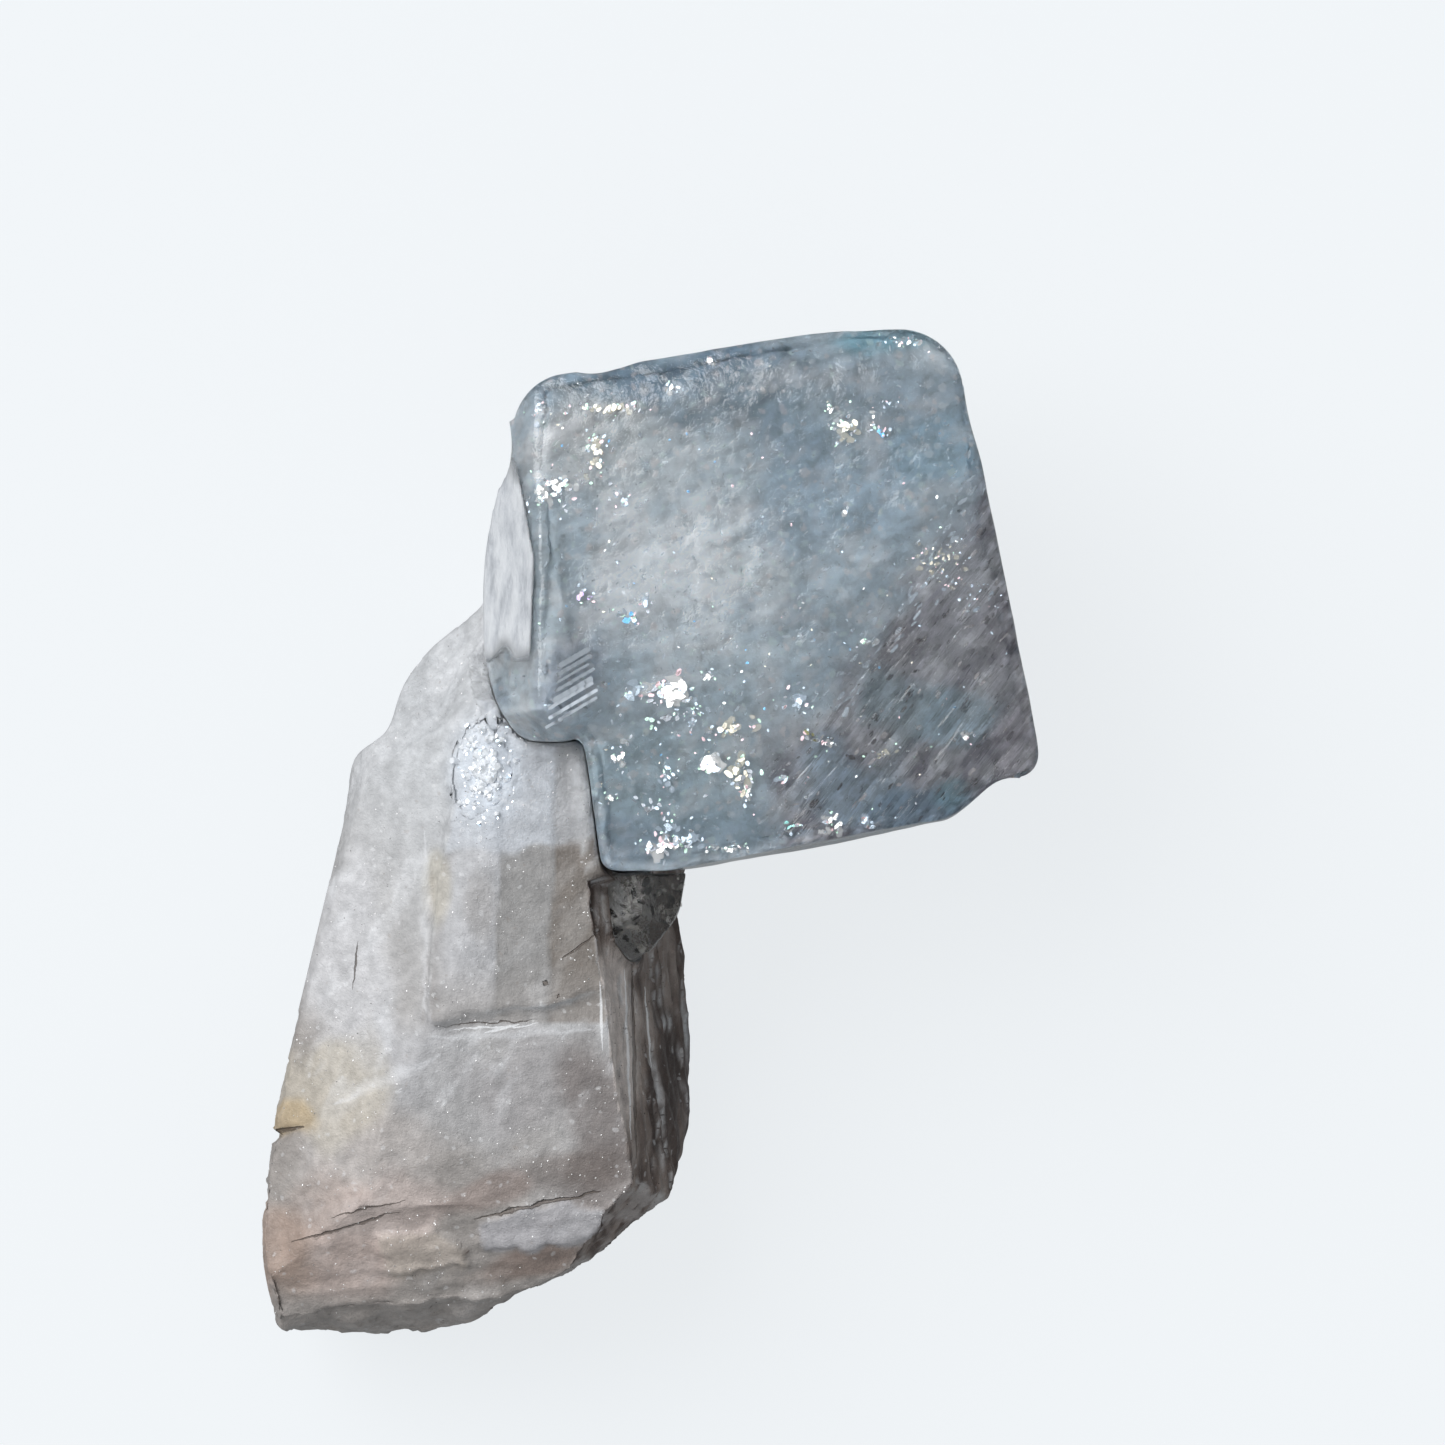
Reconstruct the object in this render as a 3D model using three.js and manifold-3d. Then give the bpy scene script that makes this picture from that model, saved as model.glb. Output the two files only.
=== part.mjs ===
// A euclase crystal on a piece of feldspar, lying on its back.
// Millimetres, +Z up. +Y runs along the piece, from its broken lower end to the crystal's top edge.
// The origin is on the ground, below the middle of the piece's outline.
import * as THREE from "three";
import { mergeVertices } from "three/addons/utils/BufferGeometryUtils.js";
import Module from "manifold-3d";

// Driving dimensions.
const CRYSTAL_BACK = 2.1; // underside of the blue crystal, above the ground
const CRYSTAL_FRONT = 8.5; // its uppermost face
const RIM = 0.16; // rounding of the crystal's upper and lower rims
const MATRIX_TOP = 6.8; // uppermost level of the feldspar
const PLATE_STEP = 0.14; // height of its cleavage plate above the rest
const SEAT_DEPTH = 0.7; // how far its seat in the feldspar reaches up round it
const SEAT_GAP = 0.07; // clearance between pieces that grew against each other
const ARC_STEPS = 5; // segments in each rounded corner of an outline

const wasm = await Module();
wasm.setup();

// ---- solids and cuts ----

function solidOf(geometry) {
  const bare = geometry.index ? geometry.toNonIndexed() : geometry;
  const merged = mergeVertices(
    new THREE.BufferGeometry().setAttribute("position", bare.getAttribute("position")),
    1e-4,
  );
  return new wasm.Manifold(
    new wasm.Mesh({
      numProp: 3,
      vertProperties: merged.attributes.position.array,
      triVerts: new Uint32Array(merged.index.array),
    }),
  );
}

function geometryOf(solid) {
  const { vertProperties, triVerts, numProp } = solid.getMesh();
  const positions = new Float32Array((vertProperties.length / numProp) * 3);
  for (let i = 0; i * numProp < vertProperties.length; i++) {
    positions.set(vertProperties.subarray(i * numProp, i * numProp + 3), i * 3);
  }
  const indexed = new THREE.BufferGeometry()
    .setAttribute("position", new THREE.BufferAttribute(positions, 3))
    .setIndex(new THREE.BufferAttribute(triVerts, 1));
  const flat = indexed.toNonIndexed();
  flat.computeVertexNormals();
  return flat;
}

// Takes off everything outside a flat face that passes through a point, with its outward normal.
function face(solid, point, outward) {
  const normal = new THREE.Vector3(...outward).normalize();
  const offset = normal.dot(new THREE.Vector3(...point));
  return solid.trimByPlane(normal.clone().negate().toArray(), -offset);
}

function faces(solid, list) {
  return list.reduce((rest, [point, outward]) => face(rest, point, outward), solid);
}

// A closed outline of corners [x, y, radius], each corner rounded.
function roundedOutline(corners) {
  const shape = new THREE.Shape();
  corners.forEach(([x, y, radius], i) => {
    const corner = new THREE.Vector2(x, y);
    const before = new THREE.Vector2(...corners.at(i - 1));
    const after = new THREE.Vector2(...corners[(i + 1) % corners.length]);
    const start = before.sub(corner).setLength(radius).add(corner);
    const end = after.sub(corner).setLength(radius).add(corner);
    if (i === 0) shape.moveTo(start.x, start.y);
    else shape.lineTo(start.x, start.y);
    shape.quadraticCurveTo(x, y, end.x, end.y);
  });
  shape.closePath();
  return shape;
}

// A block with that outline, from one level to another, its rims rounded inwards by rim.
function block(corners, low, high, rim = 0) {
  const geometry = new THREE.ExtrudeGeometry(roundedOutline(corners), {
    depth: high - low - 2 * rim,
    curveSegments: ARC_STEPS,
    bevelEnabled: rim > 0,
    bevelThickness: rim,
    bevelSize: rim,
    bevelOffset: -rim,
    bevelSegments: 2,
  });
  return solidOf(geometry.translate(0, 0, low + rim));
}

// A solid swept a short way along each axis, which makes it larger by that gap all round.
function inflated(solid, gap) {
  const axes = [0, 1, 2].map((k) => [0, 0, 0].with(k, gap));
  return axes.reduce(
    (grown, step) => grown.add(solid.translate(step)).add(solid.translate(step.map((d) => -d))),
    solid,
  );
}

// The largest body of a solid: slivers that a cut leaves loose are dropped, and sealed hollows are filled.
function mainBody(solid) {
  return solid.decompose().reduce((most, body) => (body.volume() > most.volume() ? body : most));
}

// ---- the blue crystal ----

// The main crystal: a thick block, nearly square from above, with a chipped corner at the lower right.
function mainCrystal() {
  const outline = [
    [-2.56, 9.2, 0.95],
    [-0.86, 9.34, 0.4],
    [3.84, 10.14, 0.5],
    [6.02, 10.24, 1.4],
    [7.86, 1.24, 0.45],
    [7.02, 1.04, 0.3],
    [6.34, 0.48, 0.3],
    [3.6, -0.13, 0.8],
    [0.7, -0.62, 0.4],
    [-0.94, -0.62, 0.3],
    [-1.24, 1.6, 0.4],
    [-1.78, 4.0, 0.5],
    [-2.7, 5.8, 0.5],
    [-2.92, 7.4, 0.5],
  ];
  const body = block(outline, CRYSTAL_BACK, CRYSTAL_FRONT, RIM);
  return faces(body, [
    // upper faces: the large centre face, then those round it
    [[2.6, 5.2, CRYSTAL_FRONT - 0.14], [-0.05, 0.03, 1]],
    [[4.9, 5.4, CRYSTAL_FRONT - 0.24], [0.22, -0.14, 1]],
    [[4.6, 8.3, CRYSTAL_FRONT - 0.22], [0.06, 0.2, 1]],
    [[1.2, 3.4, CRYSTAL_FRONT - 0.22], [-0.04, -0.14, 1]],
    [[-2.2, 6.4, CRYSTAL_FRONT - 0.3], [-0.78, 0.02, 0.62]],
    [[5.0, 9.75, CRYSTAL_FRONT - 0.5], [0.1, 0.72, 0.7]],
    [[-1.6, 8.9, CRYSTAL_FRONT - 0.4], [-0.3, 0.66, 0.75]],
    // side faces lean in above and below the widest level
    [[7.25, 4.2, 5.4], [0.98, 0.2, 0.12]],
    [[7.25, 4.2, 5.0], [0.98, 0.2, -0.26]],
    [[1.6, 9.72, 5.2], [-0.16, 0.98, 0.1]],
    [[1.6, 9.72, 4.6], [-0.16, 0.98, -0.3]],
    [[3.6, -0.12, 5.6], [0.19, -0.98, 0.06]],
    [[3.6, -0.12, 4.4], [0.19, -0.98, -0.22]],
    // underside: two prism faces that meet along the crystal's length, and an end face
    [[4.2, 5.2, CRYSTAL_BACK + 0.15], [0.26, 0.05, -1]],
    [[1.0, 5.2, CRYSTAL_BACK + 0.1], [-0.14, -0.02, -1]],
    [[4.4, 9.0, 3.2], [0.1, 0.6, -0.8]],
  ]);
}

// The small crystal in parallel growth along the main one's left side. A ridge runs down it to an oblique tip.
function sideCrystal() {
  const outline = [
    [-2.96, 7.3, 0.3],
    [-3.3, 5.7, 0.8],
    [-3.3, 3.7, 0.6],
    [-3.04, 2.6, 0.5],
    [-2.54, 1.96, 0.3],
    [-1.3, 1.94, 0.5],
    [-0.86, 2.9, 0.4],
    [-1.7, 4.2, 0.3],
    [-2.1, 6.9, 0.3],
  ];
  const ridge = [-2.18, 3.0, CRYSTAL_FRONT - 0.05];
  return faces(block(outline, 4.2, CRYSTAL_FRONT + 0.1), [
    [ridge, [-0.74, 0.05, 0.67]],
    [ridge, [0.2, 0.06, 0.98]],
    [[-2.7, 2.45, CRYSTAL_FRONT - 0.9], [-0.45, -0.66, 0.5]],
    [[-1.5, 2.2, CRYSTAL_FRONT - 0.5], [0.3, -0.8, 0.5]],
    [[-2.7, 3.2, 5.3], [-0.1, 0.45, -0.9]],
    [[-3.1, 3.0, 5.2], [-0.8, 0, -0.6]],
  ]);
}

function euclaseCrystal() {
  return mainCrystal().add(sideCrystal());
}

// ---- the small smoky crystal in the angle below the blue one ----

function smokyCrystal() {
  const outline = [
    [-0.82, -0.3, 0.05],
    [0.8, -0.3, 0.05],
    [0.6, -1.5, 0.2],
    [0.08, -2.2, 0.15],
    [-0.36, -2.48, 0.12],
    [-0.68, -2.1, 0.15],
    [-0.84, -1.2, 0.2],
  ];
  const ridge = [-0.1, -1.2, 6.35];
  return faces(block(outline, 4.4, 6.6), [
    [ridge, [-0.34, 0.05, 0.94]],
    [ridge, [0.42, -0.05, 0.9]],
    [[-0.2, -1.9, 6.05], [0.05, -0.6, 0.8]],
    [[-0.1, -1.2, 4.5], [0.5, 0.1, -0.86]],
  ]);
}

// ---- the patch of tiny clear crystals ----

const DRUSE_CENTRE = [-3.3, 1.5];
const DRUSE_LEVEL = 6.6;
const DRUSE_HALF = [0.4, 0.74];
const DRUSE_COUNT = 14;
const GOLDEN_ANGLE = Math.PI * (3 - Math.sqrt(5));

function druse() {
  const [x, y] = DRUSE_CENTRE;
  let patch = block(
    [
      [x + 0.34, y + 0.98, 0.2],
      [x + 0.56, y + 0.3, 0.2],
      [x + 0.36, y - 0.86, 0.2],
      [x - 0.34, y - 0.9, 0.2],
      [x - 0.54, y - 0.3, 0.2],
      [x - 0.3, y + 0.6, 0.2],
    ],
    DRUSE_LEVEL - 0.8,
    DRUSE_LEVEL,
  );
  for (let i = 0; i < DRUSE_COUNT; i++) {
    const reach = Math.sqrt((i + 0.5) / DRUSE_COUNT);
    const point = new THREE.OctahedronGeometry(0.2 + 0.09 * Math.abs(Math.sin(2.3 * i)));
    point
      .scale(0.8, 0.8, 1.25)
      .rotateX(0.5 * Math.sin(1.7 * i))
      .rotateY(0.5 * Math.cos(2.9 * i))
      .rotateZ(0.3 * i)
      .translate(
        x + DRUSE_HALF[0] * reach * Math.cos(GOLDEN_ANGLE * i),
        y + DRUSE_HALF[1] * reach * Math.sin(GOLDEN_ANGLE * i),
        DRUSE_LEVEL + 0.04,
      );
    patch = patch.add(solidOf(point));
  }
  return mainBody(patch);
}

// ---- the feldspar ----

const SLOPE = [[-4.4, -2.0, 6.62], [-0.5, 0.06, 0.86]]; // the broad slope on the left
const SHOULDER = [[-3.4, 3.6, 6.2], [-0.4, 0.1, 0.9]]; // the upper slope, below the small crystal's tip
const FLANK = [[-0.5, -5.2, 6.5], [0.94, 0.12, 0.33]]; // the steep cleavage face on the right

// The main lump: a block with a broken outline, cut by its cleavage faces.
function lump() {
  const outline = [
    [-2.8, 7.4, 0.4],
    [-3.1, 6.4, 0.4],
    [-3.3, 4.75, 0.3],
    [-4.5, 3.8, 0.4],
    [-5.0, 3.1, 0.35],
    [-5.26, 2.14, 0.3],
    [-6.0, 1.7, 0.35],
    [-6.16, 0.4, 0.4],
    [-7.02, -3.2, 0.6],
    [-7.82, -6.5, 0.6],
    [-7.86, -8.4, 0.6],
    [-7.5, -10.1, 0.4],
    [-4.4, -10.2, 1.2],
    [-1.8, -9.0, 0.8],
    [0.46, -7.4, 0.5],
    [0.98, -5.2, 0.9],
    [0.82, -2.9, 0.6],
    [0.8, 0.6, 0.5],
    [-0.6, 5.8, 0.9],
  ];
  return faces(block(outline, 0, MATRIX_TOP - PLATE_STEP), [
    FLANK,
    [[0.98, -4.8, 2.3], [0.93, 0.02, -0.36]],
    SLOPE,
    // the left edge, and its return to the ground
    [[-6.3, -1.2, 5.5], [-0.9, 0.22, 0.38]],
    [[-6.9, -3.2, 2.6], [-0.9, 0.22, -0.42]],
    // the lower end: a gentle fall, a broken slope, the end face and its return to the ground
    [[-3.0, -4.2, 6.6], [-0.05, -0.1, 1]],
    [[-3.5, -7.3, 6.3], [-0.04, -0.5, 0.86]],
    [[-4.0, -9.4, 5.0], [0.06, -0.92, 0.4]],
    [[-4.0, -9.9, 2.4], [0.02, -0.88, -0.46]],
    [[-0.2, -7.9, 4.4], [0.7, -0.62, 0.35]],
    // shoulders towards the crystal
    [[-5.5, 1.4, 5.6], [-0.55, 0.55, 0.7]],
    [[-4.2, 3.6, 5.4], [-0.5, 0.62, 0.66]],
    SHOULDER,
  ]);
}

// The seat behind the blue crystal: a low shelf with drafted sides that the crystal's back is sunk into.
function seat() {
  const outline = [
    [-2.9, 7.3, 0.5],
    [-2.7, 3.0, 0.5],
    [-1.6, -1.6, 0.5],
    [0.3, -1.4, 0.4],
    [1.2, 0.1, 0.5],
    [2.8, 1.2, 0.7],
    [3.5, 4.2, 0.9],
    [3.0, 7.2, 0.9],
    [0.2, 8.5, 0.8],
  ];
  return faces(block(outline, 0, CRYSTAL_BACK + SEAT_DEPTH), [
    [[3.2, 4.4, 1.6], [0.9, 0.05, 0.42]],
    [[0.4, 8.2, 1.8], [0.05, 0.86, 0.5]],
    [[1.6, 0.1, 1.8], [0.45, -0.7, 0.55]],
    [[3.3, 4.4, 1.0], [0.9, 0.02, -0.44]],
  ]);
}

// The smooth cleavage plate that stands a little above the lump.
function plate() {
  const slab = block(
    [
      [-4.45, -3.7, 0.25],
      [-0.7, -3.05, 0.1],
      [-0.8, 2.6, 0.2],
      [-2.6, 3.2, 0.3],
      [-3.6, 2.4, 0.4],
      [-4.4, -0.8, 0.5],
    ],
    MATRIX_TOP - 1,
    MATRIX_TOP,
    PLATE_STEP / 2,
  );
  const raised = [SLOPE, SHOULDER].map(([[x, y, z], outward]) => [[x, y, z + PLATE_STEP], outward]);
  return faces(slab, [FLANK, ...raised]);
}

// The whole feldspar, hollowed where its neighbours grew into it.
function feldsparMatrix(neighbours) {
  const whole = lump().add(seat()).add(plate());
  return mainBody(
    neighbours.reduce((rest, neighbour) => rest.subtract(inflated(neighbour, SEAT_GAP)), whole),
  );
}

// ---- the assembled piece ----

function piece(name, solid, colour, roughness) {
  const material = new THREE.MeshStandardMaterial({ color: colour, roughness, metalness: 0 });
  const mesh = new THREE.Mesh(geometryOf(solid), material);
  mesh.name = name;
  return mesh;
}

const crystal = euclaseCrystal();
const smoky = smokyCrystal().subtract(inflated(crystal, SEAT_GAP));
const sparkle = druse().subtract(inflated(crystal, SEAT_GAP));

const specimen = new THREE.Group();
specimen.add(
  piece("euclase_crystal", crystal, 0xa3b6c6, 0.12),
  piece("feldspar_matrix", feldsparMatrix([crystal, smoky, sparkle]), 0xc9c6c2, 0.6),
  piece("smoky_quartz", smoky, 0x575552, 0.15),
  piece("clear_druse", sparkle, 0xc4d0da, 0.1),
);

export default specimen;
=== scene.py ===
"""A blue, nearly square euclase crystal on pale feldspar, lying on its back on a plain floor.

Shapes are worked out in millimetres and scaled to metres as each piece is finished.
"""

import math
import random

import bmesh
import bpy
from mathutils import Matrix, Vector, noise
from mathutils.bvhtree import BVHTree


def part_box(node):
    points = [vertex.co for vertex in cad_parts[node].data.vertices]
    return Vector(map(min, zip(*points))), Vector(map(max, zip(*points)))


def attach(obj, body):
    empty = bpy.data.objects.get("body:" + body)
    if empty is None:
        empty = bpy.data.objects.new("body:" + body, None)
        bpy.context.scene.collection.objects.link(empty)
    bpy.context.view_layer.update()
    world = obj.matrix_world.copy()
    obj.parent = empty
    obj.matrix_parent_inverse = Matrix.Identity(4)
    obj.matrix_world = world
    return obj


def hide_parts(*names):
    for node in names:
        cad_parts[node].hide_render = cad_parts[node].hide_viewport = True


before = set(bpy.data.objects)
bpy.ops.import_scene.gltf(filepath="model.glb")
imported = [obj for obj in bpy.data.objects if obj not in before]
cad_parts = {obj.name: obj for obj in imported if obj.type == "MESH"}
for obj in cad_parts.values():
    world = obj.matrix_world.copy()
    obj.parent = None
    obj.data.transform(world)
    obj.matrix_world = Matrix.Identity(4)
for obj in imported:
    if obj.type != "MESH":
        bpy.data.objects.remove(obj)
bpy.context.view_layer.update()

MM = 0.001
MERGE = 0.002  # corners closer than this are one, in millimetres

# Cell sizes of the fine meshes, in millimetres.
CRYSTAL_CELL = 0.08
VEIL_CELL = 0.14
ROCK_CELL = 0.085
SMOKY_CELL = 0.045

EUCLASE_IOR = 1.65
QUARTZ_IOR = 1.55
FELDSPAR_IOR = 1.53
VEIL_IOR = 1.2

# What the clear crystals absorb: the colour they let through, and the density per metre.
EUCLASE_BODY = (0.28, 0.56, 0.66)
EUCLASE_DENSITY = 120.0
SMOKY_BODY = (0.40, 0.36, 0.31)
SMOKY_DENSITY = 270.0

KEY_FROM = Vector((-0.56, 0.42, 0.72)).normalized()  # direction from the specimen to the main light
VIEW_FROM = Vector((0, 0, 1))
UP = Vector((0, 0, 1))


# ---- numbers ----


def smoothstep(low, high, value):
    t = min(max((value - low) / (high - low), 0.0), 1.0)
    return t * t * (3 - 2 * t)


def between(low, high, soft, value):
    """1 from low to high, easing to 0 over a soft margin outside them."""
    return smoothstep(low - soft, low, value) * (1 - smoothstep(high, high + soft, value))


def shade(red, green, blue):
    """A colour as a screen shows it, from 0 to 255, in the linear values that shaders take."""
    return tuple(((v / 255 + 0.055) / 1.055) ** 2.4 for v in (red, green, blue))


def veiled(red, green, blue):
    """The colour a veil needs, so that from outside the crystal it looks as the screen colour given."""
    return tuple(v / (0.29 + 0.63 * v) for v in shade(red, green, blue))


def blend(first, second, share):
    return tuple(a + (b - a) * share for a, b in zip(first, second))


def along(corners, value):
    """The height at a value on a line through corners (value, height), in rising order of value."""
    if value <= corners[0][0]:
        return corners[0][1]
    for (low, first), (high, second) in zip(corners, corners[1:]):
        if value <= high:
            return first + (second - first) * (value - low) / (high - low)
    return corners[-1][1]


def patch(point, centre, reach, ragged=0.0, scale=1.0, lean=0.0):
    """1 in the middle of a soft patch seen from above, 0 outside it. Noise breaks up its edge."""
    across = point.x - centre[0]
    x = across / reach[0]
    y = (point.y - centre[1] - lean * across) / reach[1]
    away = math.hypot(x, y) + ragged * noise.noise(point * scale)
    return 1 - smoothstep(0.45, 1.0, away)


def painted(tone, point, patches, ragged, scale):
    """A tone with soft patches laid over it: (x, y), reach, lean, colour, strength."""
    for centre, reach, lean, colour, strength in patches:
        tone = blend(tone, colour, strength * patch(point, centre, reach, ragged, scale, lean))
    return tone


def inside(point, corners, soft=0.06, ragged=0.11):
    """1 inside a shape with the given corners, seen from above, easing to 0 at its ragged edge."""
    low_x, high_x = min(c[0] for c in corners), max(c[0] for c in corners)
    low_y, high_y = min(c[1] for c in corners), max(c[1] for c in corners)
    if not (low_x - 0.3 < point.x < high_x + 0.3 and low_y - 0.3 < point.y < high_y + 0.3):
        return 0.0
    nearest = math.inf
    within = False
    for (x0, y0), (x1, y1) in zip(corners, corners[1:] + corners[:1]):
        run = Vector((x1 - x0, y1 - y0))
        away = Vector((point.x - x0, point.y - y0))
        share = min(max(away.dot(run) / run.length_squared, 0.0), 1.0)
        nearest = min(nearest, (away - run * share).length)
        if (y0 > point.y) != (y1 > point.y) and point.x < x0 + (point.y - y0) * run.x / run.y:
            within = not within
    distance = (nearest if within else -nearest) + ragged * noise.fractal(point * 2.3, 0.8, 2.0, 3)
    return smoothstep(-soft, soft, distance)


def refracted(direction, normal, ratio):
    """A direction bent at a surface whose normal faces it. ratio is the outer IOR over the inner."""
    cosine = -direction.dot(normal)
    return ratio * direction + (ratio * cosine - math.sqrt(1 - ratio**2 * (1 - cosine**2))) * normal


# ---- meshes ----


def placed(name, data, location=(0, 0, 0)):
    """A new object in the scene."""
    obj = bpy.data.objects.new(name, data)
    obj.location = location
    bpy.context.scene.collection.objects.link(obj)
    return obj


def fine_copy(node, cell, smoothing):
    """A CAD node's shape as an even, fine mesh, in millimetres, its edges a little worn."""
    bm = bmesh.new()
    bm.from_mesh(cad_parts[node].data)
    bmesh.ops.scale(bm, vec=Vector((1, 1, 1)) / MM, verts=bm.verts)
    bmesh.ops.remove_doubles(bm, verts=bm.verts, dist=MERGE)
    holder = placed(node + "_holder", mesh_from(bm, node + "_coarse"))
    remesh = holder.modifiers.new("even cells", "REMESH")
    remesh.mode = "VOXEL"
    remesh.voxel_size = cell
    graph = bpy.context.evaluated_depsgraph_get()
    fine = bpy.data.meshes.new_from_object(holder.evaluated_get(graph))
    bpy.data.objects.remove(holder)
    bm = bmesh.new()
    bm.from_mesh(fine)
    for _ in range(smoothing):
        bmesh.ops.smooth_vert(
            bm, verts=bm.verts, factor=0.5, use_axis_x=True, use_axis_y=True, use_axis_z=True
        )
    bm.to_mesh(fine)
    bm.free()
    return fine


def carve(mesh, relief):
    """Moves each vertex along its normal by relief(point, normal), in millimetres."""
    moves = [v.normal * relief(v.co, v.normal) for v in mesh.vertices]
    for vertex, move in zip(mesh.vertices, moves):
        vertex.co += move


def mark(mesh, name, value):
    """Stores value(point, normal), a colour, on each vertex."""
    layer = mesh.attributes.new(name, "FLOAT_COLOR", "POINT")
    for vertex, item in zip(mesh.vertices, layer.data):
        item.color = value(vertex.co, vertex.normal)


def mark_share(mesh, name, share):
    """Stores share(point), from 0 to 1, on each vertex."""
    mark(mesh, name, lambda point, normal: (share(point),) * 3 + (1.0,))


def extent(mesh):
    """The lowest and the highest corner of a mesh's bounding box."""
    corners = [v.co for v in mesh.vertices]
    return [[pick(c[axis] for c in corners) for axis in range(3)] for pick in (min, max)]


def mesh_from(bm, name):
    mesh = bpy.data.meshes.new(name)
    bm.to_mesh(mesh)
    bm.free()
    return mesh


def piece(name, mesh, material, replaced=None, smooth=True):
    """Makes a millimetre mesh a piece that rides on the specimen, with the material given.

    replaced is the CAD node that it stands in for.
    """
    mesh.transform(Matrix.Scale(MM, 4))
    mesh.materials.clear()
    mesh.materials.append(material)
    mesh.polygons.foreach_set("use_smooth", [smooth] * len(mesh.polygons))
    obj = placed(name, mesh)
    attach(obj, "root")
    if replaced:
        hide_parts(replaced)


class Skin:
    """The surface of a closed millimetre mesh."""

    def __init__(self, mesh):
        corners = [v.co.copy() for v in mesh.vertices]
        self.tree = BVHTree.FromPolygons(corners, [tuple(p.vertices) for p in mesh.polygons])

    def depth(self, point):
        """How far inside the surface a point lies. Outside, it is below 0."""
        place, normal, _, distance = self.tree.find_nearest(point)
        return distance if (point - place).dot(normal) < 0 else -distance

    def top(self, x, y):
        """The point and normal of the surface that faces up at x, y."""
        place, normal, _, _ = self.tree.ray_cast(Vector((x, y, 20)), -UP)
        return place, normal


def lying(normal, run):
    """A turn that takes Z to a normal and X to a direction near run."""
    across = normal.cross(run).normalized()
    return Matrix((across.cross(normal), across, normal)).transposed().to_4x4()


class Chips:
    """Many small flat chips, each a closed plate of five to seven sides, in one mesh."""

    def __init__(self, seed):
        self.bm = bmesh.new()
        self.tint = self.bm.verts.layers.float_color.new("tint")
        self.random = random.Random(seed)

    def add(self, centre, normal, reach, colour, opacity=1.0, slender=0.45, run=None):
        """A chip that faces along normal. Its long way is along run, or any way if there is none."""
        draw = self.random
        lie = lying(normal, run or self.direction())
        shape = Matrix.Diagonal((reach, reach * draw.uniform(slender, slender + 0.3), 1, 1))
        made = bmesh.ops.create_cone(
            self.bm,
            cap_ends=True,
            cap_tris=False,
            segments=draw.choice((5, 6, 7)),
            radius1=0.8,
            radius2=1.0,
            depth=min(0.2 * reach, 0.02),
            matrix=Matrix.Translation(centre) @ lie @ shape,
        )
        for vertex in made["verts"]:
            vertex.co += (vertex.co - centre) * draw.uniform(-0.22, 0.22)
            vertex[self.tint] = (*colour, opacity)

    def direction(self):
        draw = self.random
        return Vector((draw.gauss(0, 1), draw.gauss(0, 1), draw.gauss(0, 1))).normalized()

    def finish(self, name, material):
        """Makes the chips a piece."""
        piece(name, mesh_from(self.bm, name), material, smooth=False)


# ---- material nodes ----


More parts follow.
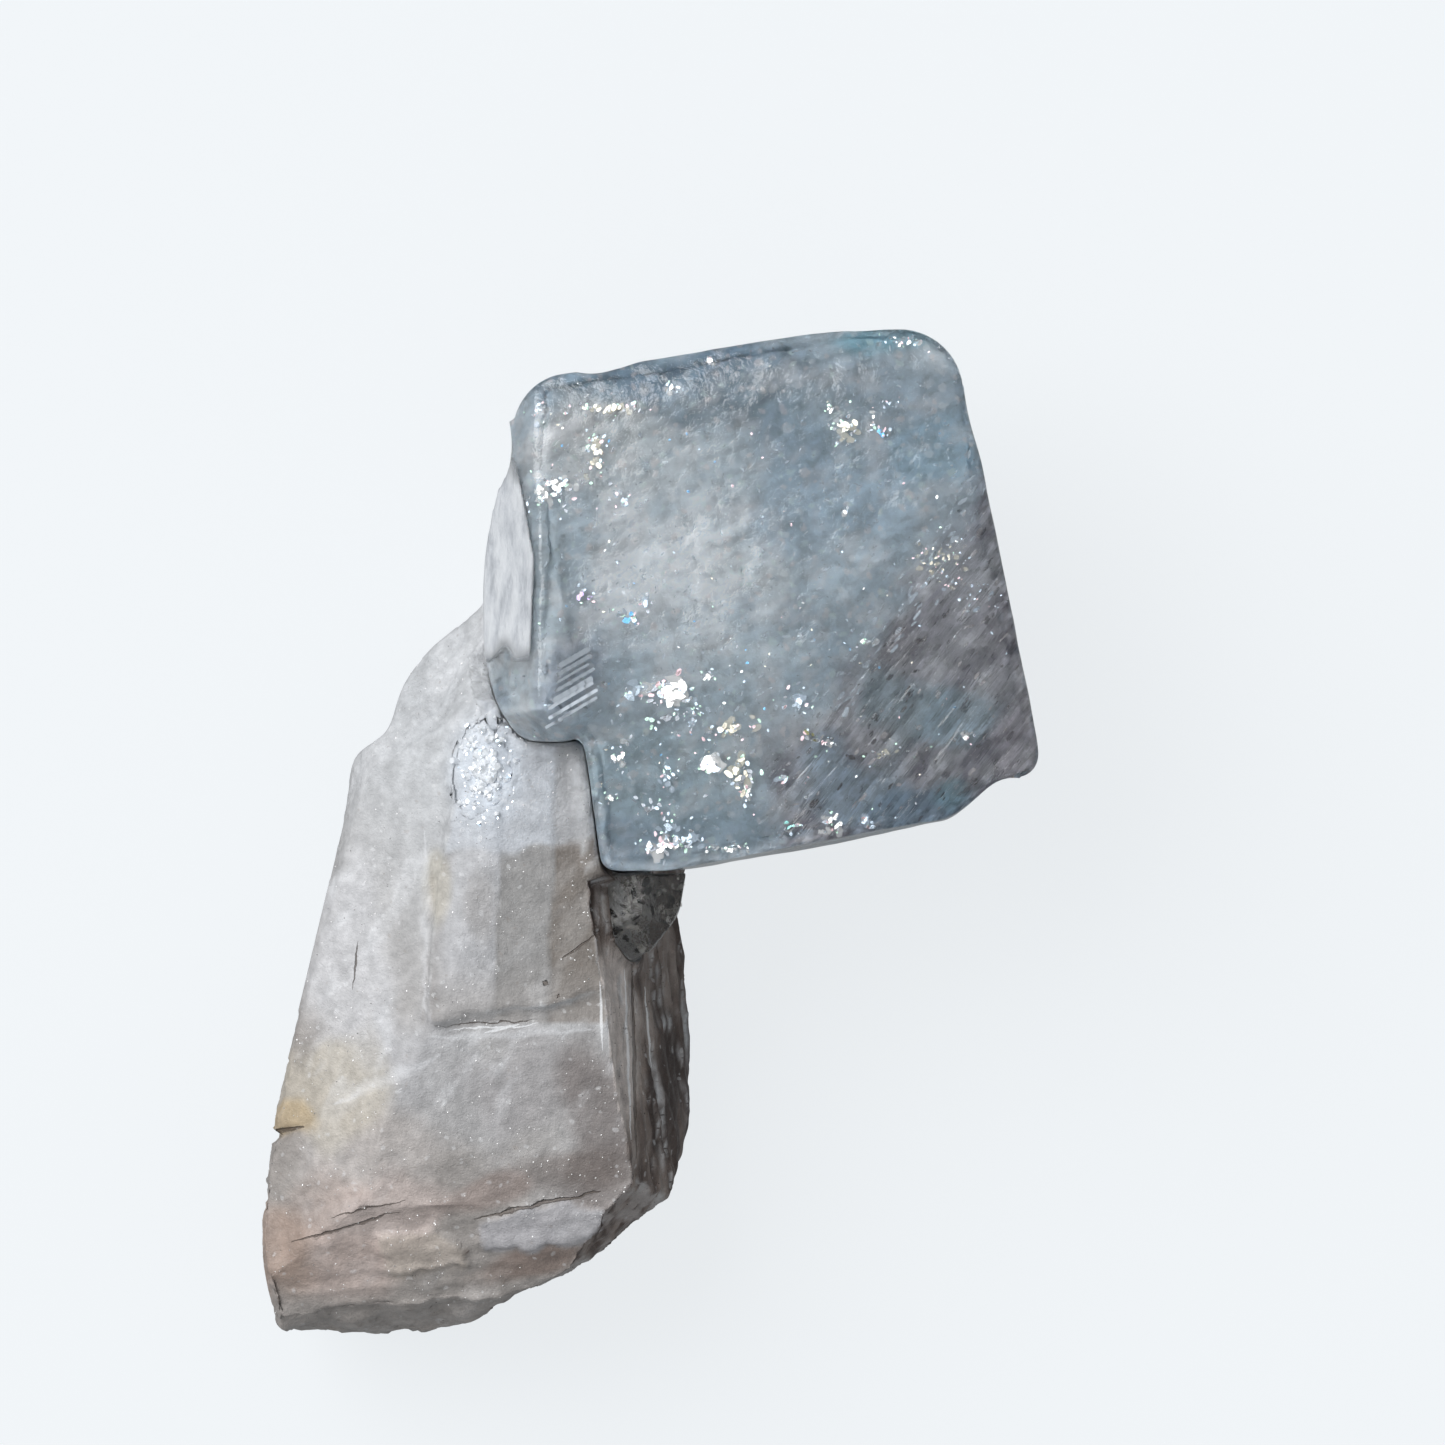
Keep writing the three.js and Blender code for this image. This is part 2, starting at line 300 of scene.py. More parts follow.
class Graph:
    """Adds nodes to a material's or a group's tree and joins them."""

    def __init__(self, tree):
        self.tree = tree

    def put(self, made, inputs):
        for socket, value in inputs.items():
            if isinstance(value, bpy.types.NodeSocket):
                self.tree.links.new(value, made.inputs[socket])
            else:
                made.inputs[socket].default_value = value

    def add(self, kind, inputs=None, **settings):
        made = self.tree.nodes.new(kind)
        for name, value in settings.items():
            setattr(made, name, value)
        self.put(made, inputs or {})
        return made

    def math(self, operation, first, second=0.0, clamp=False):
        made = self.add("ShaderNodeMath", {0: first, 1: second}, operation=operation, use_clamp=clamp)
        return made.outputs[0]

    def vector(self, operation, first, second=(0, 0, 0)):
        made = self.add("ShaderNodeVectorMath", {0: first, 1: second}, operation=operation)
        return made.outputs["Value" if operation in ("DOT_PRODUCT", "LENGTH") else "Vector"]

    def scaled(self, vector, factor):
        """A vector or a colour times a number."""
        return self.add("ShaderNodeVectorMath", {0: vector, "Scale": factor}, operation="SCALE").outputs[0]

    def millimetres(self):
        return self.scaled(self.add("ShaderNodeTexCoord").outputs["Object"], 1 / MM)

    def attribute(self, name):
        return self.add("ShaderNodeAttribute", attribute_name=name).outputs

    def parts(self, colour):
        return self.add("ShaderNodeSeparateColor", {0: colour}).outputs

    def turned(self, vector, turn=(0, 0, 0), scale=(1, 1, 1)):
        """A vector turned, then stretched, so that a pattern on it runs along the turned axes."""
        made = self.add(
            "ShaderNodeMapping",
            {"Vector": vector, "Rotation": [math.radians(a) for a in turn]},
            vector_type="POINT",
        )
        return self.vector("MULTIPLY", made.outputs[0], scale)

    def noise(self, vector, scale, detail, roughness, distortion=0.0):
        settings = {"Vector": vector, "Scale": scale, "Detail": detail, "Roughness": roughness}
        return self.add("ShaderNodeTexNoise", settings | {"Distortion": distortion}).outputs["Fac"]

    def drift(self, vector, scale, detail):
        """A vector that wanders between 0 and 1 on each axis."""
        settings = {"Vector": vector, "Scale": scale, "Detail": detail}
        return self.add("ShaderNodeTexNoise", settings).outputs["Color"]

    def ramp(self, value, low, high, bottom=0.0, top=1.0):
        made = self.add(
            "ShaderNodeMapRange",
            {"Value": value, "From Min": low, "From Max": high, "To Min": bottom, "To Max": top},
            interpolation_type="SMOOTHSTEP",
        )
        return made.outputs["Result"]

    def mix(self, factor, first, second):
        return self.add("ShaderNodeMix", {0: factor, 6: first, 7: second}, data_type="RGBA").outputs[2]

    def pick(self, factor, first, second):
        """A number that goes from the first to the second as the factor goes from 0 to 1."""
        return self.add("ShaderNodeMix", {0: factor, 2: first, 3: second}, data_type="FLOAT").outputs[0]

    def bump(self, height, depth, under=None):
        """A bump of a height of 0 to 1 over a depth in millimetres, on top of another normal."""
        inputs = {"Height": height, "Distance": depth * MM, "Strength": 1.0}
        if under:
            inputs["Normal"] = under
        return self.add("ShaderNodeBump", inputs).outputs[0]

    def group(self, tree, inputs):
        made = self.add("ShaderNodeGroup", node_tree=tree)
        self.put(made, inputs)
        return made.outputs


def new_group(name, vectors, numbers):
    """A group of shader nodes that makes a mask from the vectors and the numbers it is given."""
    tree = bpy.data.node_groups.new(name, "ShaderNodeTree")
    for label in vectors:
        tree.interface.new_socket(label, in_out="INPUT", socket_type="NodeSocketVector")
    for label in numbers:
        tree.interface.new_socket(label, in_out="INPUT", socket_type="NodeSocketFloat")
    tree.interface.new_socket("Mask", in_out="OUTPUT", socket_type="NodeSocketFloat")
    graph = Graph(tree)
    return graph, graph.add("NodeGroupInput").outputs, graph.add("NodeGroupOutput")


def crack_group():
    """A thin crack that runs from Start to End, seen from above. Wander says how far Sway bends it."""
    graph, given, out = new_group("Crack", ("Place", "Sway", "Start", "End"), ("Width", "Wander"))
    sway = graph.scaled(given["Sway"], given["Wander"])
    place = graph.vector("MULTIPLY", graph.vector("ADD", given["Place"], sway), (1, 1, 0))
    run = graph.vector("SUBTRACT", given["End"], given["Start"])
    from_start = graph.vector("SUBTRACT", place, given["Start"])
    share = graph.math(
        "DIVIDE",
        graph.vector("DOT_PRODUCT", from_start, run),
        graph.vector("DOT_PRODUCT", run, run),
        clamp=True,
    )
    distance = graph.vector("LENGTH", graph.vector("SUBTRACT", from_start, graph.scaled(run, share)))
    taper = graph.math("SINE", graph.math("MULTIPLY", share, math.pi))
    reach = graph.math("MULTIPLY", given["Width"], graph.math("ADD", taper, 0.25))
    mask = graph.math("SUBTRACT", 1.0, graph.math("DIVIDE", distance, reach), clamp=True)
    graph.put(out, {"Mask": mask})
    return graph.tree


def speckle_group():
    """Small separate grains, each lighter or darker than the ground, Share of them showing."""
    graph, given, out = new_group("Speckle", ("Place",), ("Scale", "Share", "Size"))
    warp = graph.drift(given["Place"], 3.0, 2.0)
    place = graph.vector("ADD", given["Place"], graph.scaled(warp, 0.25))
    settings = {"Vector": place, "Scale": given["Scale"]}
    cells = graph.add("ShaderNodeTexVoronoi", settings, feature="F1").outputs
    shown = graph.math("LESS_THAN", graph.parts(cells["Color"])[0], given["Share"])
    size = graph.math("MULTIPLY", graph.math("ADD", graph.parts(cells["Color"])[1], 0.35), given["Size"])
    near = graph.math("SUBTRACT", 1.0, graph.math("DIVIDE", cells["Distance"], size), clamp=True)
    graph.put(out, {"Mask": graph.math("MULTIPLY", graph.ramp(near, 0.0, 0.5), shown)})
    return graph.tree


def new_material(name):
    material = bpy.data.materials.new(name)
    material.use_nodes = True
    nodes = material.node_tree.nodes
    return material, Graph(material.node_tree), nodes["Principled BSDF"], nodes["Material Output"]


def make_clear(graph, shader, out, body, density):
    """Lets light through a material, which takes colour out of it on the way."""
    graph.put(shader, {"Base Color": (1.0, 1.0, 1.0, 1), "Transmission Weight": 1.0})
    volume = graph.add("ShaderNodeVolumeAbsorption", {"Color": (*body, 1), "Density": density})
    graph.put(out, {"Volume": volume.outputs[0]})


# ---- the feldspar ----

DRUSE_MIDDLE = (-3.28, 1.42)
DRUSE_REACH = (0.58, 1.0)  # half the width and half the length of the patch of tiny crystals
DRUSE_SPREAD = (0.8, 1.15)  # the same of the ground under it
DRUSE_GROUND = 6.68  # how high that ground is
DRUSE_BEND = -3.1  # left of here it falls by DRUSE_FALL for each millimetre
DRUSE_FALL = 0.45
DRUSE_FAR_FALL = 0.16  # how its left side falls toward the far end, for each millimetre
DRUSE_LEVEL_Y = 0.9  # where that side is neither raised nor lowered

# The white block and the pale flap at the lower end, seen from above.
BLOCK = (
    (-3.36, -7.72), (-2.6, -7.42), (-1.7, -7.22), (-0.9, -7.5), (-0.95, -7.9), (-1.6, -8.2),
    (-3.3, -8.3),
)
FLAP = (
    (-5.4, -8.1), (-4.9, -7.92), (-4.3, -7.9), (-3.65, -8.25), (-3.7, -8.6), (-4.5, -8.75),
    (-5.3, -8.8),
)

PLATE_LEFT = ((-3.6, -4.5), (-0.8, -4.4), (0.2, -4.0), (2.4, -3.5))  # (y, x) of the plate's left edge
PLATE_RIGHT = -0.85
PLATE_NEAR = -3.66  # its lower edge
PLATE_FAR = 3.0
PLATE_EDGE = 0.05  # how soft its edges are
PLATE_STEPS = ((-2.98, 0.03), (-1.9, 0.035))  # where the plate steps down, and by how much

BLUE_SEAM = 0.34  # how far the feldspar grows out to meet the blue crystal
SMOKY_SEAM = 0.12
SEAM_GAP = 0.02  # what is left between them
SEAM_LOWEST = 4.5  # below this height the seams stay as they are
NOTCH_BAND = (-6.02, -5.9)  # the crack that opens at the left edge

# Depths of the feldspar's relief, in millimetres.
ROCK_WEAR = 0.05
ROCK_SWELL = 0.09
LEDGE = 0.045
ROCK_GRAIN = 0.018
FINE_GRAIN = 0.010
FLANK_GROOVE = 0.20
FINE_GROOVE = 0.07
SHELF = 0.07
NOTCH = 0.16
LOWER_END = 0.12  # how far the lower end lies below the block and the flap on it


def feldspar_zone(normal):
    """How much a place belongs to the flank, which is painted dark as shade, and to the smooth front."""
    flank = smoothstep(0.45, 0.8, normal.x)
    front = smoothstep(0.75, 0.95, normal.z)
    return flank, front


def plate_mask(point):
    """1 on the cleavage plate."""
    ragged = 0.12 * noise.noise(point * 1.8)
    left = along(PLATE_LEFT, point.y) + ragged
    across = between(left, PLATE_RIGHT, PLATE_EDGE, point.x)
    return across * between(PLATE_NEAR + ragged, PLATE_FAR, PLATE_EDGE, point.y)


def plate_step(point):
    """How far each of the plate's steps down is taken at a place, from 0 to 1."""
    x = point.x + 0.10 * noise.noise(Vector((0, point.y * 0.8, 3.0))) - 0.03 * point.y
    return [smoothstep(edge - PLATE_EDGE, edge + PLATE_EDGE, x) for edge, _ in PLATE_STEPS]


def feldspar_relief(seams):
    """How far each place on the feldspar sinks in, or grows out toward the crystals in seams."""

    def relief(point, normal):
        flank, front = feldspar_zone(normal)
        clear = smoothstep(0.0, 0.25, point.z)  # the back stays flat where it rests
        broad = noise.fractal(point / 1.6, 0.9, 2.0, 4) * ROCK_SWELL
        ledge_place = Vector((point.x * 1.1 - point.y * 0.25, point.y * 0.3, point.z * 0.9))
        ledge = math.floor((noise.noise(ledge_place) + 0.2 * noise.noise(point * 2.1)) * 5.0) * LEDGE
        grain = noise.noise(point / 0.24) * ROCK_GRAIN + noise.noise(point / 0.13) * FINE_GRAIN
        run = Vector((point.x / 0.42, point.y / 3.0, point.z / 0.3))
        grooves = abs(noise.noise(run)) * FLANK_GROOVE + abs(noise.noise(run * 2.3)) * FINE_GROOVE
        steps = sum(share * drop for share, (_, drop) in zip(plate_step(point), PLATE_STEPS))
        lower = smoothstep(-6.6, -7.6, point.y + 0.2 * point.x + 0.4)
        shelf = Vector((point.x * 0.25, point.y * 1.5 - point.x * 0.35, point.z * 1.2))
        shelves = lower * (1 - flank) * abs(noise.noise(shelf * 1.6)) * SHELF
        depth = ROCK_WEAR + broad * (1 - 0.75 * front) + ledge * (1 - front) * (1 - flank)
        depth += grain * (1 - 0.6 * front) + grooves * flank + steps * plate_mask(point) * front + shelves
        notch = between(*NOTCH_BAND, 0.07, point.y - 0.22 * (point.x + 7.6))
        depth += NOTCH * notch * smoothstep(-6.9, -7.4, point.x)
        depth += LOWER_END * lower * (1 - max(inside(point, BLOCK), inside(point, FLAP)))
        gaps = [abs(skin.depth(point)) for skin in seams]
        for gap, reach in zip(gaps, (BLUE_SEAM, SMOKY_SEAM)):
            if gap < reach and point.z > SEAM_LOWEST and normal.z > -0.3:
                return (gap - SEAM_GAP) * (1 - smoothstep(0.55, 0.95, normal.z))
        return -max(depth, 0.0) * clear * smoothstep(0.05, 0.45, min(gaps))

    return relief


# Soft patches of colour on the feldspar, seen from above:
# (x, y), reach, how much the patch leans, its colour, how strong it is.
FELDSPAR_PATCHES = [
    ((-6.0, -2.6), (1.5, 3.2), 0.0, (202, 202, 205), 0.80),
    ((-4.7, -4.4), (1.5, 1.5), 0.0, (182, 182, 185), 0.80),
    ((-3.6, -5.2), (1.6, 1.8), 0.0, (168, 167, 168), 0.80),
    ((-2.4, -5.0), (1.4, 1.5), 0.0, (157, 154, 155), 0.70),
    ((-1.0, -5.7), (1.2, 2.2), 0.0, (120, 113, 111), 0.85),
    ((-1.5, -6.5), (1.4, 0.6), 0.0, (106, 97, 93), 0.80),
    ((-5.6, -6.6), (2.5, 1.5), 0.0, (180, 174, 171), 0.90),
    # painted reflection: this warm brownish tone stands for light thrown onto the lower end by a finger
    ((-6.0, -8.0), (2.4, 1.5), 0.2, (186, 170, 163), 0.95),
    ((-4.9, -7.4), (1.6, 0.8), 0.3, (182, 170, 165), 0.90),
    ((-6.8, -7.2), (0.8, 0.9), 0.2, (160, 148, 142), 0.70),
    ((-3.4, -7.1), (1.2, 0.5), 0.3, (144, 129, 123), 0.70),
    ((-0.6, -7.6), (1.0, 0.8), 0.3, (146, 138, 135), 0.80),
    ((-7.4, -8.3), (1.0, 1.2), 0.0, (158, 138, 126), 0.80),
    ((-2.4, -8.5), (1.6, 0.5), 0.3, (128, 112, 104), 0.80),
]


def feldspar_tint(point, normal):
    """The feldspar's colour."""
    flank, front = feldspar_zone(normal)
    x, y = point.x, point.y
    small = noise.fractal(point * 2.4, 0.7, 2.0, 3)
    tone = (190, 192, 195)
    fall = smoothstep(2.0, -9.0, y + 0.9 * (x + 4.0))  # the lower right is greyer and warmer
    tone = blend(tone, (152, 146, 142), fall)
    tone = painted(tone, point, FELDSPAR_PATCHES, 0.5, 0.9)
    # the plate: a bluish upper end, then three strips that get darker to the right
    plate = plate_mask(point) * front
    first, second = plate_step(point)
    strip = blend((182, 182, 185), (141, 139, 138), first)
    strip = blend(strip, (112, 104, 97), second)
    upper = smoothstep(-0.12, 0.12, y + 0.35 * noise.fractal(point * 0.9, 0.8, 2.0, 3) - 0.12 * x - 0.15)
    strip = blend(strip, (186, 190, 197), upper * (0.95 - 0.25 * second))
    strip = blend(strip, (156, 151, 148), 0.6 * smoothstep(-2.2, -3.4, y))
    left = along(PLATE_LEFT, y)
    # painted shade: darker just inside the plate's left edge, where the higher slope beside it shades the
    # plate
    strip = blend(strip, (138, 134, 132), 0.55 * between(left, left + 0.12, 0.35, x) * (1 - upper))
    strip = blend(strip, (140, 136, 134), 0.5 * patch(point, (-3.35, -1.3), (0.45, 0.9), 0.3))
    tone = blend(tone, strip, 0.9 * plate)
    # the lower end has a white block and a pale flap on it
    tone = blend(tone, (178, 176, 179), inside(point, BLOCK))
    tone = blend(tone, (186, 175, 165), 0.75 * inside(point, FLAP, 0.10))
    # stains
    tone = blend(tone, (188, 180, 166), 0.7 * patch(point, (-6.5, -4.9), (1.6, 1.5), 0.8, 0.9))
    tone = blend(tone, (186, 162, 124), 0.65 * patch(point, (-7.25, -5.6), (0.8, 0.5), 0.5, 1.4))
    tone = blend(tone, (184, 174, 152), 0.4 * patch(point, (-4.3, -0.9), (0.35, 0.9), 0.5))
    # the flank: brown and grey streaks along it, darkened with painted shade as a face turned from the
    # light, but not where it meets the blue crystal
    flank *= 1 - smoothstep(-0.6, 0.1, y)
    run = Vector((x * 2.6 + 0.3 * noise.noise(point), y * 0.3, point.z * 1.6))
    streak = 0.5 + 0.7 * noise.fractal(run, 0.7, 2.0, 3)
    side = blend((62, 48, 41), (132, 120, 113), smoothstep(0.25, 0.85, streak))
    side = blend(side, (50, 38, 33), 0.7 * patch(point, (0.35, -5.2), (0.5, 1.6), 0.6))
    side = blend(side, (84, 88, 98), 0.6 * smoothstep(0.6, 0.95, x))
    side = blend(side, (214, 205, 200), 0.85 * patch(point, (-0.75, -4.0), (0.75, 2.9), 0.35))
    tone = blend(tone, side, flank)
    # under the tiny crystals the feldspar is pale and bluish, made paler still as painted light that lifts
    # the shade of their hollow
    tone = blend(tone, (204, 211, 220), 0.8 * patch(point, DRUSE_MIDDLE, (1.0, 1.5)))
    drift = noise.fractal(Vector((x * 1.1 - y * 0.9, x * 0.5 + y * 0.35, point.z)), 0.8, 2.0, 4)
    pale = 0.40 * smoothstep(0.1, 0.6, drift) * (1 - flank) * (1 - 0.5 * plate)
    tone = blend(tone, (222, 223, 226), pale * (1 - 0.7 * smoothstep(-4.5, -6.0, y)))
    amount = 1 + 0.15 * small
    return (*(v * amount for v in shade(*tone)), 1.0)


# Lines on the feldspar, seen from above: (x, y) of both ends, half the width, how much it wanders.
DARK_CRACKS = [
    ((-7.9, -5.98), (-6.95, -5.78), 0.05, 0.10),
    ((-3.5, -7.62), (-1.0, -7.02), 0.045, 0.35),
    ((-7.2, -8.1), (-5.0, -7.45), 0.028, 0.30),
    ((-6.4, -7.6), (-4.9, -7.2), 0.018, 0.30),
    ((-1.78, -2.4), (-0.98, -1.8), 0.02, 0.15),
    ((-5.84, -2.0), (-5.95, -3.0), 0.018, 0.25),
    ((-0.36, -2.5), (-0.26, -6.4), 0.030, 0.10),
    ((-2.12, -2.83), (-2.02, -2.88), 0.06, 0.05),
    ((-1.84, -3.1), (-1.8, -3.12), 0.045, 0.05),
    ((-4.3, -3.72), (-2.2, -3.62), 0.012, 0.30),
]
# painted highlights: bright lines along edges and ridges where they catch the light
PAINTED_HIGHLIGHT_LINES = [
    ((-3.3, -3.86), (-2.6, -3.68), 0.035, 0.05),
    ((-0.98, -2.8), (-0.92, -4.2), 0.030, 0.08),
    ((-0.5, -2.6), (-0.36, -6.0), 0.030, 0.10),
    ((-0.1, -3.0), (0.02, -4.6), 0.025, 0.10),
    ((-4.0, -3.80), (-2.2, -3.70), 0.020, 0.20),
]
PALE_VEINS = [
    ((-4.46, 0.2), (-4.50, -3.4), 0.12, 0.35),
    ((-4.3, -3.95), (-1.1, -3.80), 0.12, 0.25),
    ((-4.2, -4.3), (-6.3, -5.3), 0.18, 0.35),
    ((-3.1, 0.85), (-2.2, 0.62), 0.08, 0.20),
]


def feldspar_material(crack, speckle):
    material, graph, shader, _ = new_material("pale feldspar")
    place = graph.millimetres()
    tint = graph.attribute("tint")
    flank = graph.attribute("flank")["Fac"]

    fine = graph.noise(place, 4.5, 6.0, 0.68)
    colour = graph.scaled(tint["Color"], graph.ramp(fine, 0.25, 0.75, 0.84, 1.15))
    pale = graph.group(speckle, {"Place": place, "Scale": 5.5, "Share": 0.30, "Size": 0.30})["Mask"]
    colour = graph.mix(graph.math("MULTIPLY", pale, 0.26), colour, (0.86, 0.87, 0.89, 1))
    dull = graph.group(speckle, {"Place": place, "Scale": 6.3, "Share": 0.18, "Size": 0.25})["Mask"]
    colour = graph.mix(graph.math("MULTIPLY", dull, 0.25), colour, (0.25, 0.2, 0.17, 1))
    sway = graph.vector("SUBTRACT", graph.drift(place, 2.2, 4.0), (0.5, 0.5, 0.5))

    def lines(rows, edge=0.6):
        """1 on any of the lines. A line is sharper the smaller its edge is."""
        total = None
        for start, end, width, wander in rows:
            given = {"Place": place, "Sway": sway, "Start": (*start, 0), "End": (*end, 0)}
            mask = graph.group(crack, given | {"Width": width, "Wander": wander})["Mask"]
            total = graph.math("MAXIMUM", total, mask) if total else mask
        return graph.ramp(total, 0.0, edge)

    dark = lines(DARK_CRACKS)
    bright = lines(PAINTED_HIGHLIGHT_LINES)
    colour = graph.mix(graph.math("MULTIPLY", dark, 0.75), colour, (0.10, 0.075, 0.06, 1))
    # painted highlights along edges and ridges
    colour = graph.mix(graph.math("MULTIPLY", bright, 0.7), colour, (0.88, 0.89, 0.91, 1))
    colour = graph.mix(graph.math("MULTIPLY", lines(PALE_VEINS, 1.0), 0.3), colour, (0.84, 0.85, 0.88, 1))

    grain = graph.noise(place, 5.0, 5.0, 0.7)
    dust = graph.noise(place, 22.0, 2.0, 0.6)
    streaks = graph.noise(graph.turned(place, scale=(6.0, 0.5, 6.0)), 1.0, 4.0, 0.6)
    height = graph.math("ADD", grain, graph.math("MULTIPLY", dust, 0.3))
    height = graph.math("ADD", height, graph.math("MULTIPLY", streaks, graph.math("MULTIPLY", flank, 1.5)))
    height = graph.math("SUBTRACT", height, graph.math("MULTIPLY", dark, 2.0))
    normal = graph.bump(height, 0.042)
    gloss = graph.ramp(graph.parts(tint["Color"])[0], 0.0, 1.0, 0.5, 0.4)
    gloss = graph.math("SUBTRACT", gloss, graph.math("MULTIPLY", pale, 0.25))
    graph.put(shader, {"Base Color": colour, "Roughness": gloss, "Normal": normal, "IOR": FELDSPAR_IOR})
    return material


def raise_druse_ground(mesh):
    """Brings the hollow under the tiny crystals up to just below the feldspar round it."""
    for vertex in mesh.vertices:
        x, y, z = vertex.co
        left = smoothstep(-2.9, -3.6, x)
        ground = DRUSE_GROUND + DRUSE_FALL * min(x - DRUSE_BEND, 0.0)
        ground += 0.03 * noise.noise(vertex.co * 3) - DRUSE_FAR_FALL * (y - DRUSE_LEVEL_Y) * left
        near = math.hypot((x - DRUSE_MIDDLE[0]) / DRUSE_SPREAD[0], (y - DRUSE_MIDDLE[1]) / DRUSE_SPREAD[1])
        if near < 1 and 5.5 < z < ground:
            vertex.co.z = ground


def make_feldspar(crack, speckle, seams):
    mesh = fine_copy("feldspar_matrix", ROCK_CELL, 1)
    carve(mesh, feldspar_relief(seams))
    raise_druse_ground(mesh)
    mark(mesh, "flank", lambda point, normal: (feldspar_zone(normal)[0],) * 3 + (1.0,))
    mark(mesh, "tint", feldspar_tint)
    skin = Skin(mesh)
    piece("feldspar_rock", mesh, feldspar_material(crack, speckle), "feldspar_matrix")
    return skin


# ---- the blue crystal ----

SLANT = (0.64, 0.77)  # the way the broken part's flakes run, seen from above
ROUGH_EDGE = ((-0.5, 2.3), (1.6, 2.62), (3.6, 4.22), (4.8, 5.12), (7.5, 6.72), (9.0, 7.4))  # (y, x)

# Depths of the crystal's relief, in millimetres.
CRYSTAL_WEAR = 0.03
CRYSTAL_SWELL = 0.045
HILLOCK = 0.012
BROKEN_GROOVE = 0.07
CORNER_STEP = 0.02


def rough_zone(point):
    """1 in the broken, brownish part at the lower right, beyond a slanting line."""
    edge = along(ROUGH_EDGE, point.y) + 0.5 * noise.fractal(point * 0.9, 0.8, 2.0, 3)
    return smoothstep(-0.35, 0.45, point.x - edge)


def along_slant(point):
    """How far a place lies across and along the slant that the broken part's flakes follow."""
    run_x, run_y = SLANT
    return point.x * run_y - point.y * run_x, point.x * run_x + point.y * run_y


def euclase_relief(point, normal):
    rough = rough_zone(point)
    up = smoothstep(0.6, 0.9, normal.z)
    broad = noise.fractal(point / 1.5, 0.9, 2.0, 3) * CRYSTAL_SWELL
    hillocks = noise.noise(point / 0.45) * HILLOCK
    across, forward = along_slant(point)
    slant = Vector((across, forward * 0.25, point.z * 0.4))
    grooves = abs(noise.noise(slant * 2.6)) * BROKEN_GROOVE * rough * (0.4 + 0.6 * up)
    corner = patch(point, (4.6, 8.5), (2.2, 1.6))
    steps = noise.noise(Vector((point.x / 0.22, point.y / 1.8, 0))) * CORNER_STEP * corner * up
    wall = 1 - smoothstep(0.35, 0.75, abs(normal.z))
    return -max(CRYSTAL_WEAR + broad + hillocks + grooves + steps, 0.0) * (1 - 0.6 * wall)


WIDEN = (0.09, 0.11)  # how far the right and far edges move out
GIRDLE = 5.3  # the height at which the crystal is widest
UPRIGHT = 0.105  # how much a wall above it moves out for each millimetre of height
RIM_WEAR = 0.30
BOX_MARGIN = 0.01  # what stays free inside the CAD's bounding box


def fill_out(mesh):
    """Widens the crystal toward its right and far edges, sets its sides upright and wears its upper rim."""
    _, (right, back, _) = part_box("euclase_crystal")
    limit_x = right / MM - BOX_MARGIN
    limit_y = back / MM - BOX_MARGIN
    for vertex in mesh.vertices:
        x, y, z = vertex.co
        far = y - 0.17 * x  # how near the far edge, which slants
        side = x + 0.2 * (y - 9.3)  # how near the right edge
        upright = UPRIGHT * min(max(z - GIRDLE, 0.0), 2.8)
        worn = smoothstep(8.0, 9.25, far) ** 2 + smoothstep(5.0, 6.25, side) ** 2
        vertex.co.z -= RIM_WEAR * worn * smoothstep(6.0, 8.3, z)
        vertex.co.x = min(x + (WIDEN[0] + upright) * smoothstep(3.0, 6.0, side), limit_x)
        vertex.co.y = min(y + (WIDEN[1] + upright) * smoothstep(6.0, 9.0, far), limit_y)


# Worn corners of the large crystal: the middle of each arc, its radius, the ways its two sides face.
CORNERS = [
    (Vector((-1.50, 8.1)), 1.21, Vector((-0.98, -0.17)), Vector((0.21, 0.98))),
    (Vector((4.98, 8.90)), 1.27, Vector((0.98, 0.1)), Vector((-0.1, 0.98))),
    (Vector((7.33, 1.70)), 0.44, Vector((0.98, 0.1)), Vector((-0.1, -0.98))),
]
ARC_RUN = 1.6  # how far beyond each arc its sides ease back to where they were


def round_corners(mesh, sunk):
    """Rounds the crystal's corners seen from above. sunk is how far below the outside the mesh lies."""
    for vertex in mesh.vertices:
        for middle, radius, first, second in CORNERS:
            away = vertex.co.xy - middle
            out, up = away.dot(first), away.dot(second)
            limit = radius - sunk
            if out > 0 and up > 0 and away.length > limit:
                vertex.co.xy = middle + away * (limit / away.length)
            elif -ARC_RUN < up <= 0 and out > limit:
                vertex.co.xy -= first * (out - limit) * (1 - smoothstep(0, ARC_RUN, -up))
            elif -ARC_RUN < out <= 0 and up > limit:
                vertex.co.xy -= second * (up - limit) * (1 - smoothstep(0, ARC_RUN, -out))


def euclase_material():
    material, graph, shader, out = new_material("blue euclase")
    place = graph.millimetres()
    waves = graph.noise(place, 1.3, 5.0, 0.6)
    pits = graph.noise(place, 6.0, 4.0, 0.6)
    slanted = graph.noise(graph.turned(place, turn=(0, 0, -52), scale=(0.5, 5.0, 1.0)), 1.0, 3.0, 0.6)
    rough = graph.attribute("rough")["Fac"]
    normal = graph.bump(waves, 0.10)
    normal = graph.bump(pits, 0.014, normal)
    normal = graph.bump(graph.math("MULTIPLY", slanted, rough), 0.09, normal)
    gloss = graph.ramp(rough, 0.0, 1.0, 0.03, 0.16)
    graph.put(shader, {"Roughness": gloss, "Normal": normal, "IOR": EUCLASE_IOR})
    make_clear(graph, shader, out, EUCLASE_BODY, EUCLASE_DENSITY)
    return material


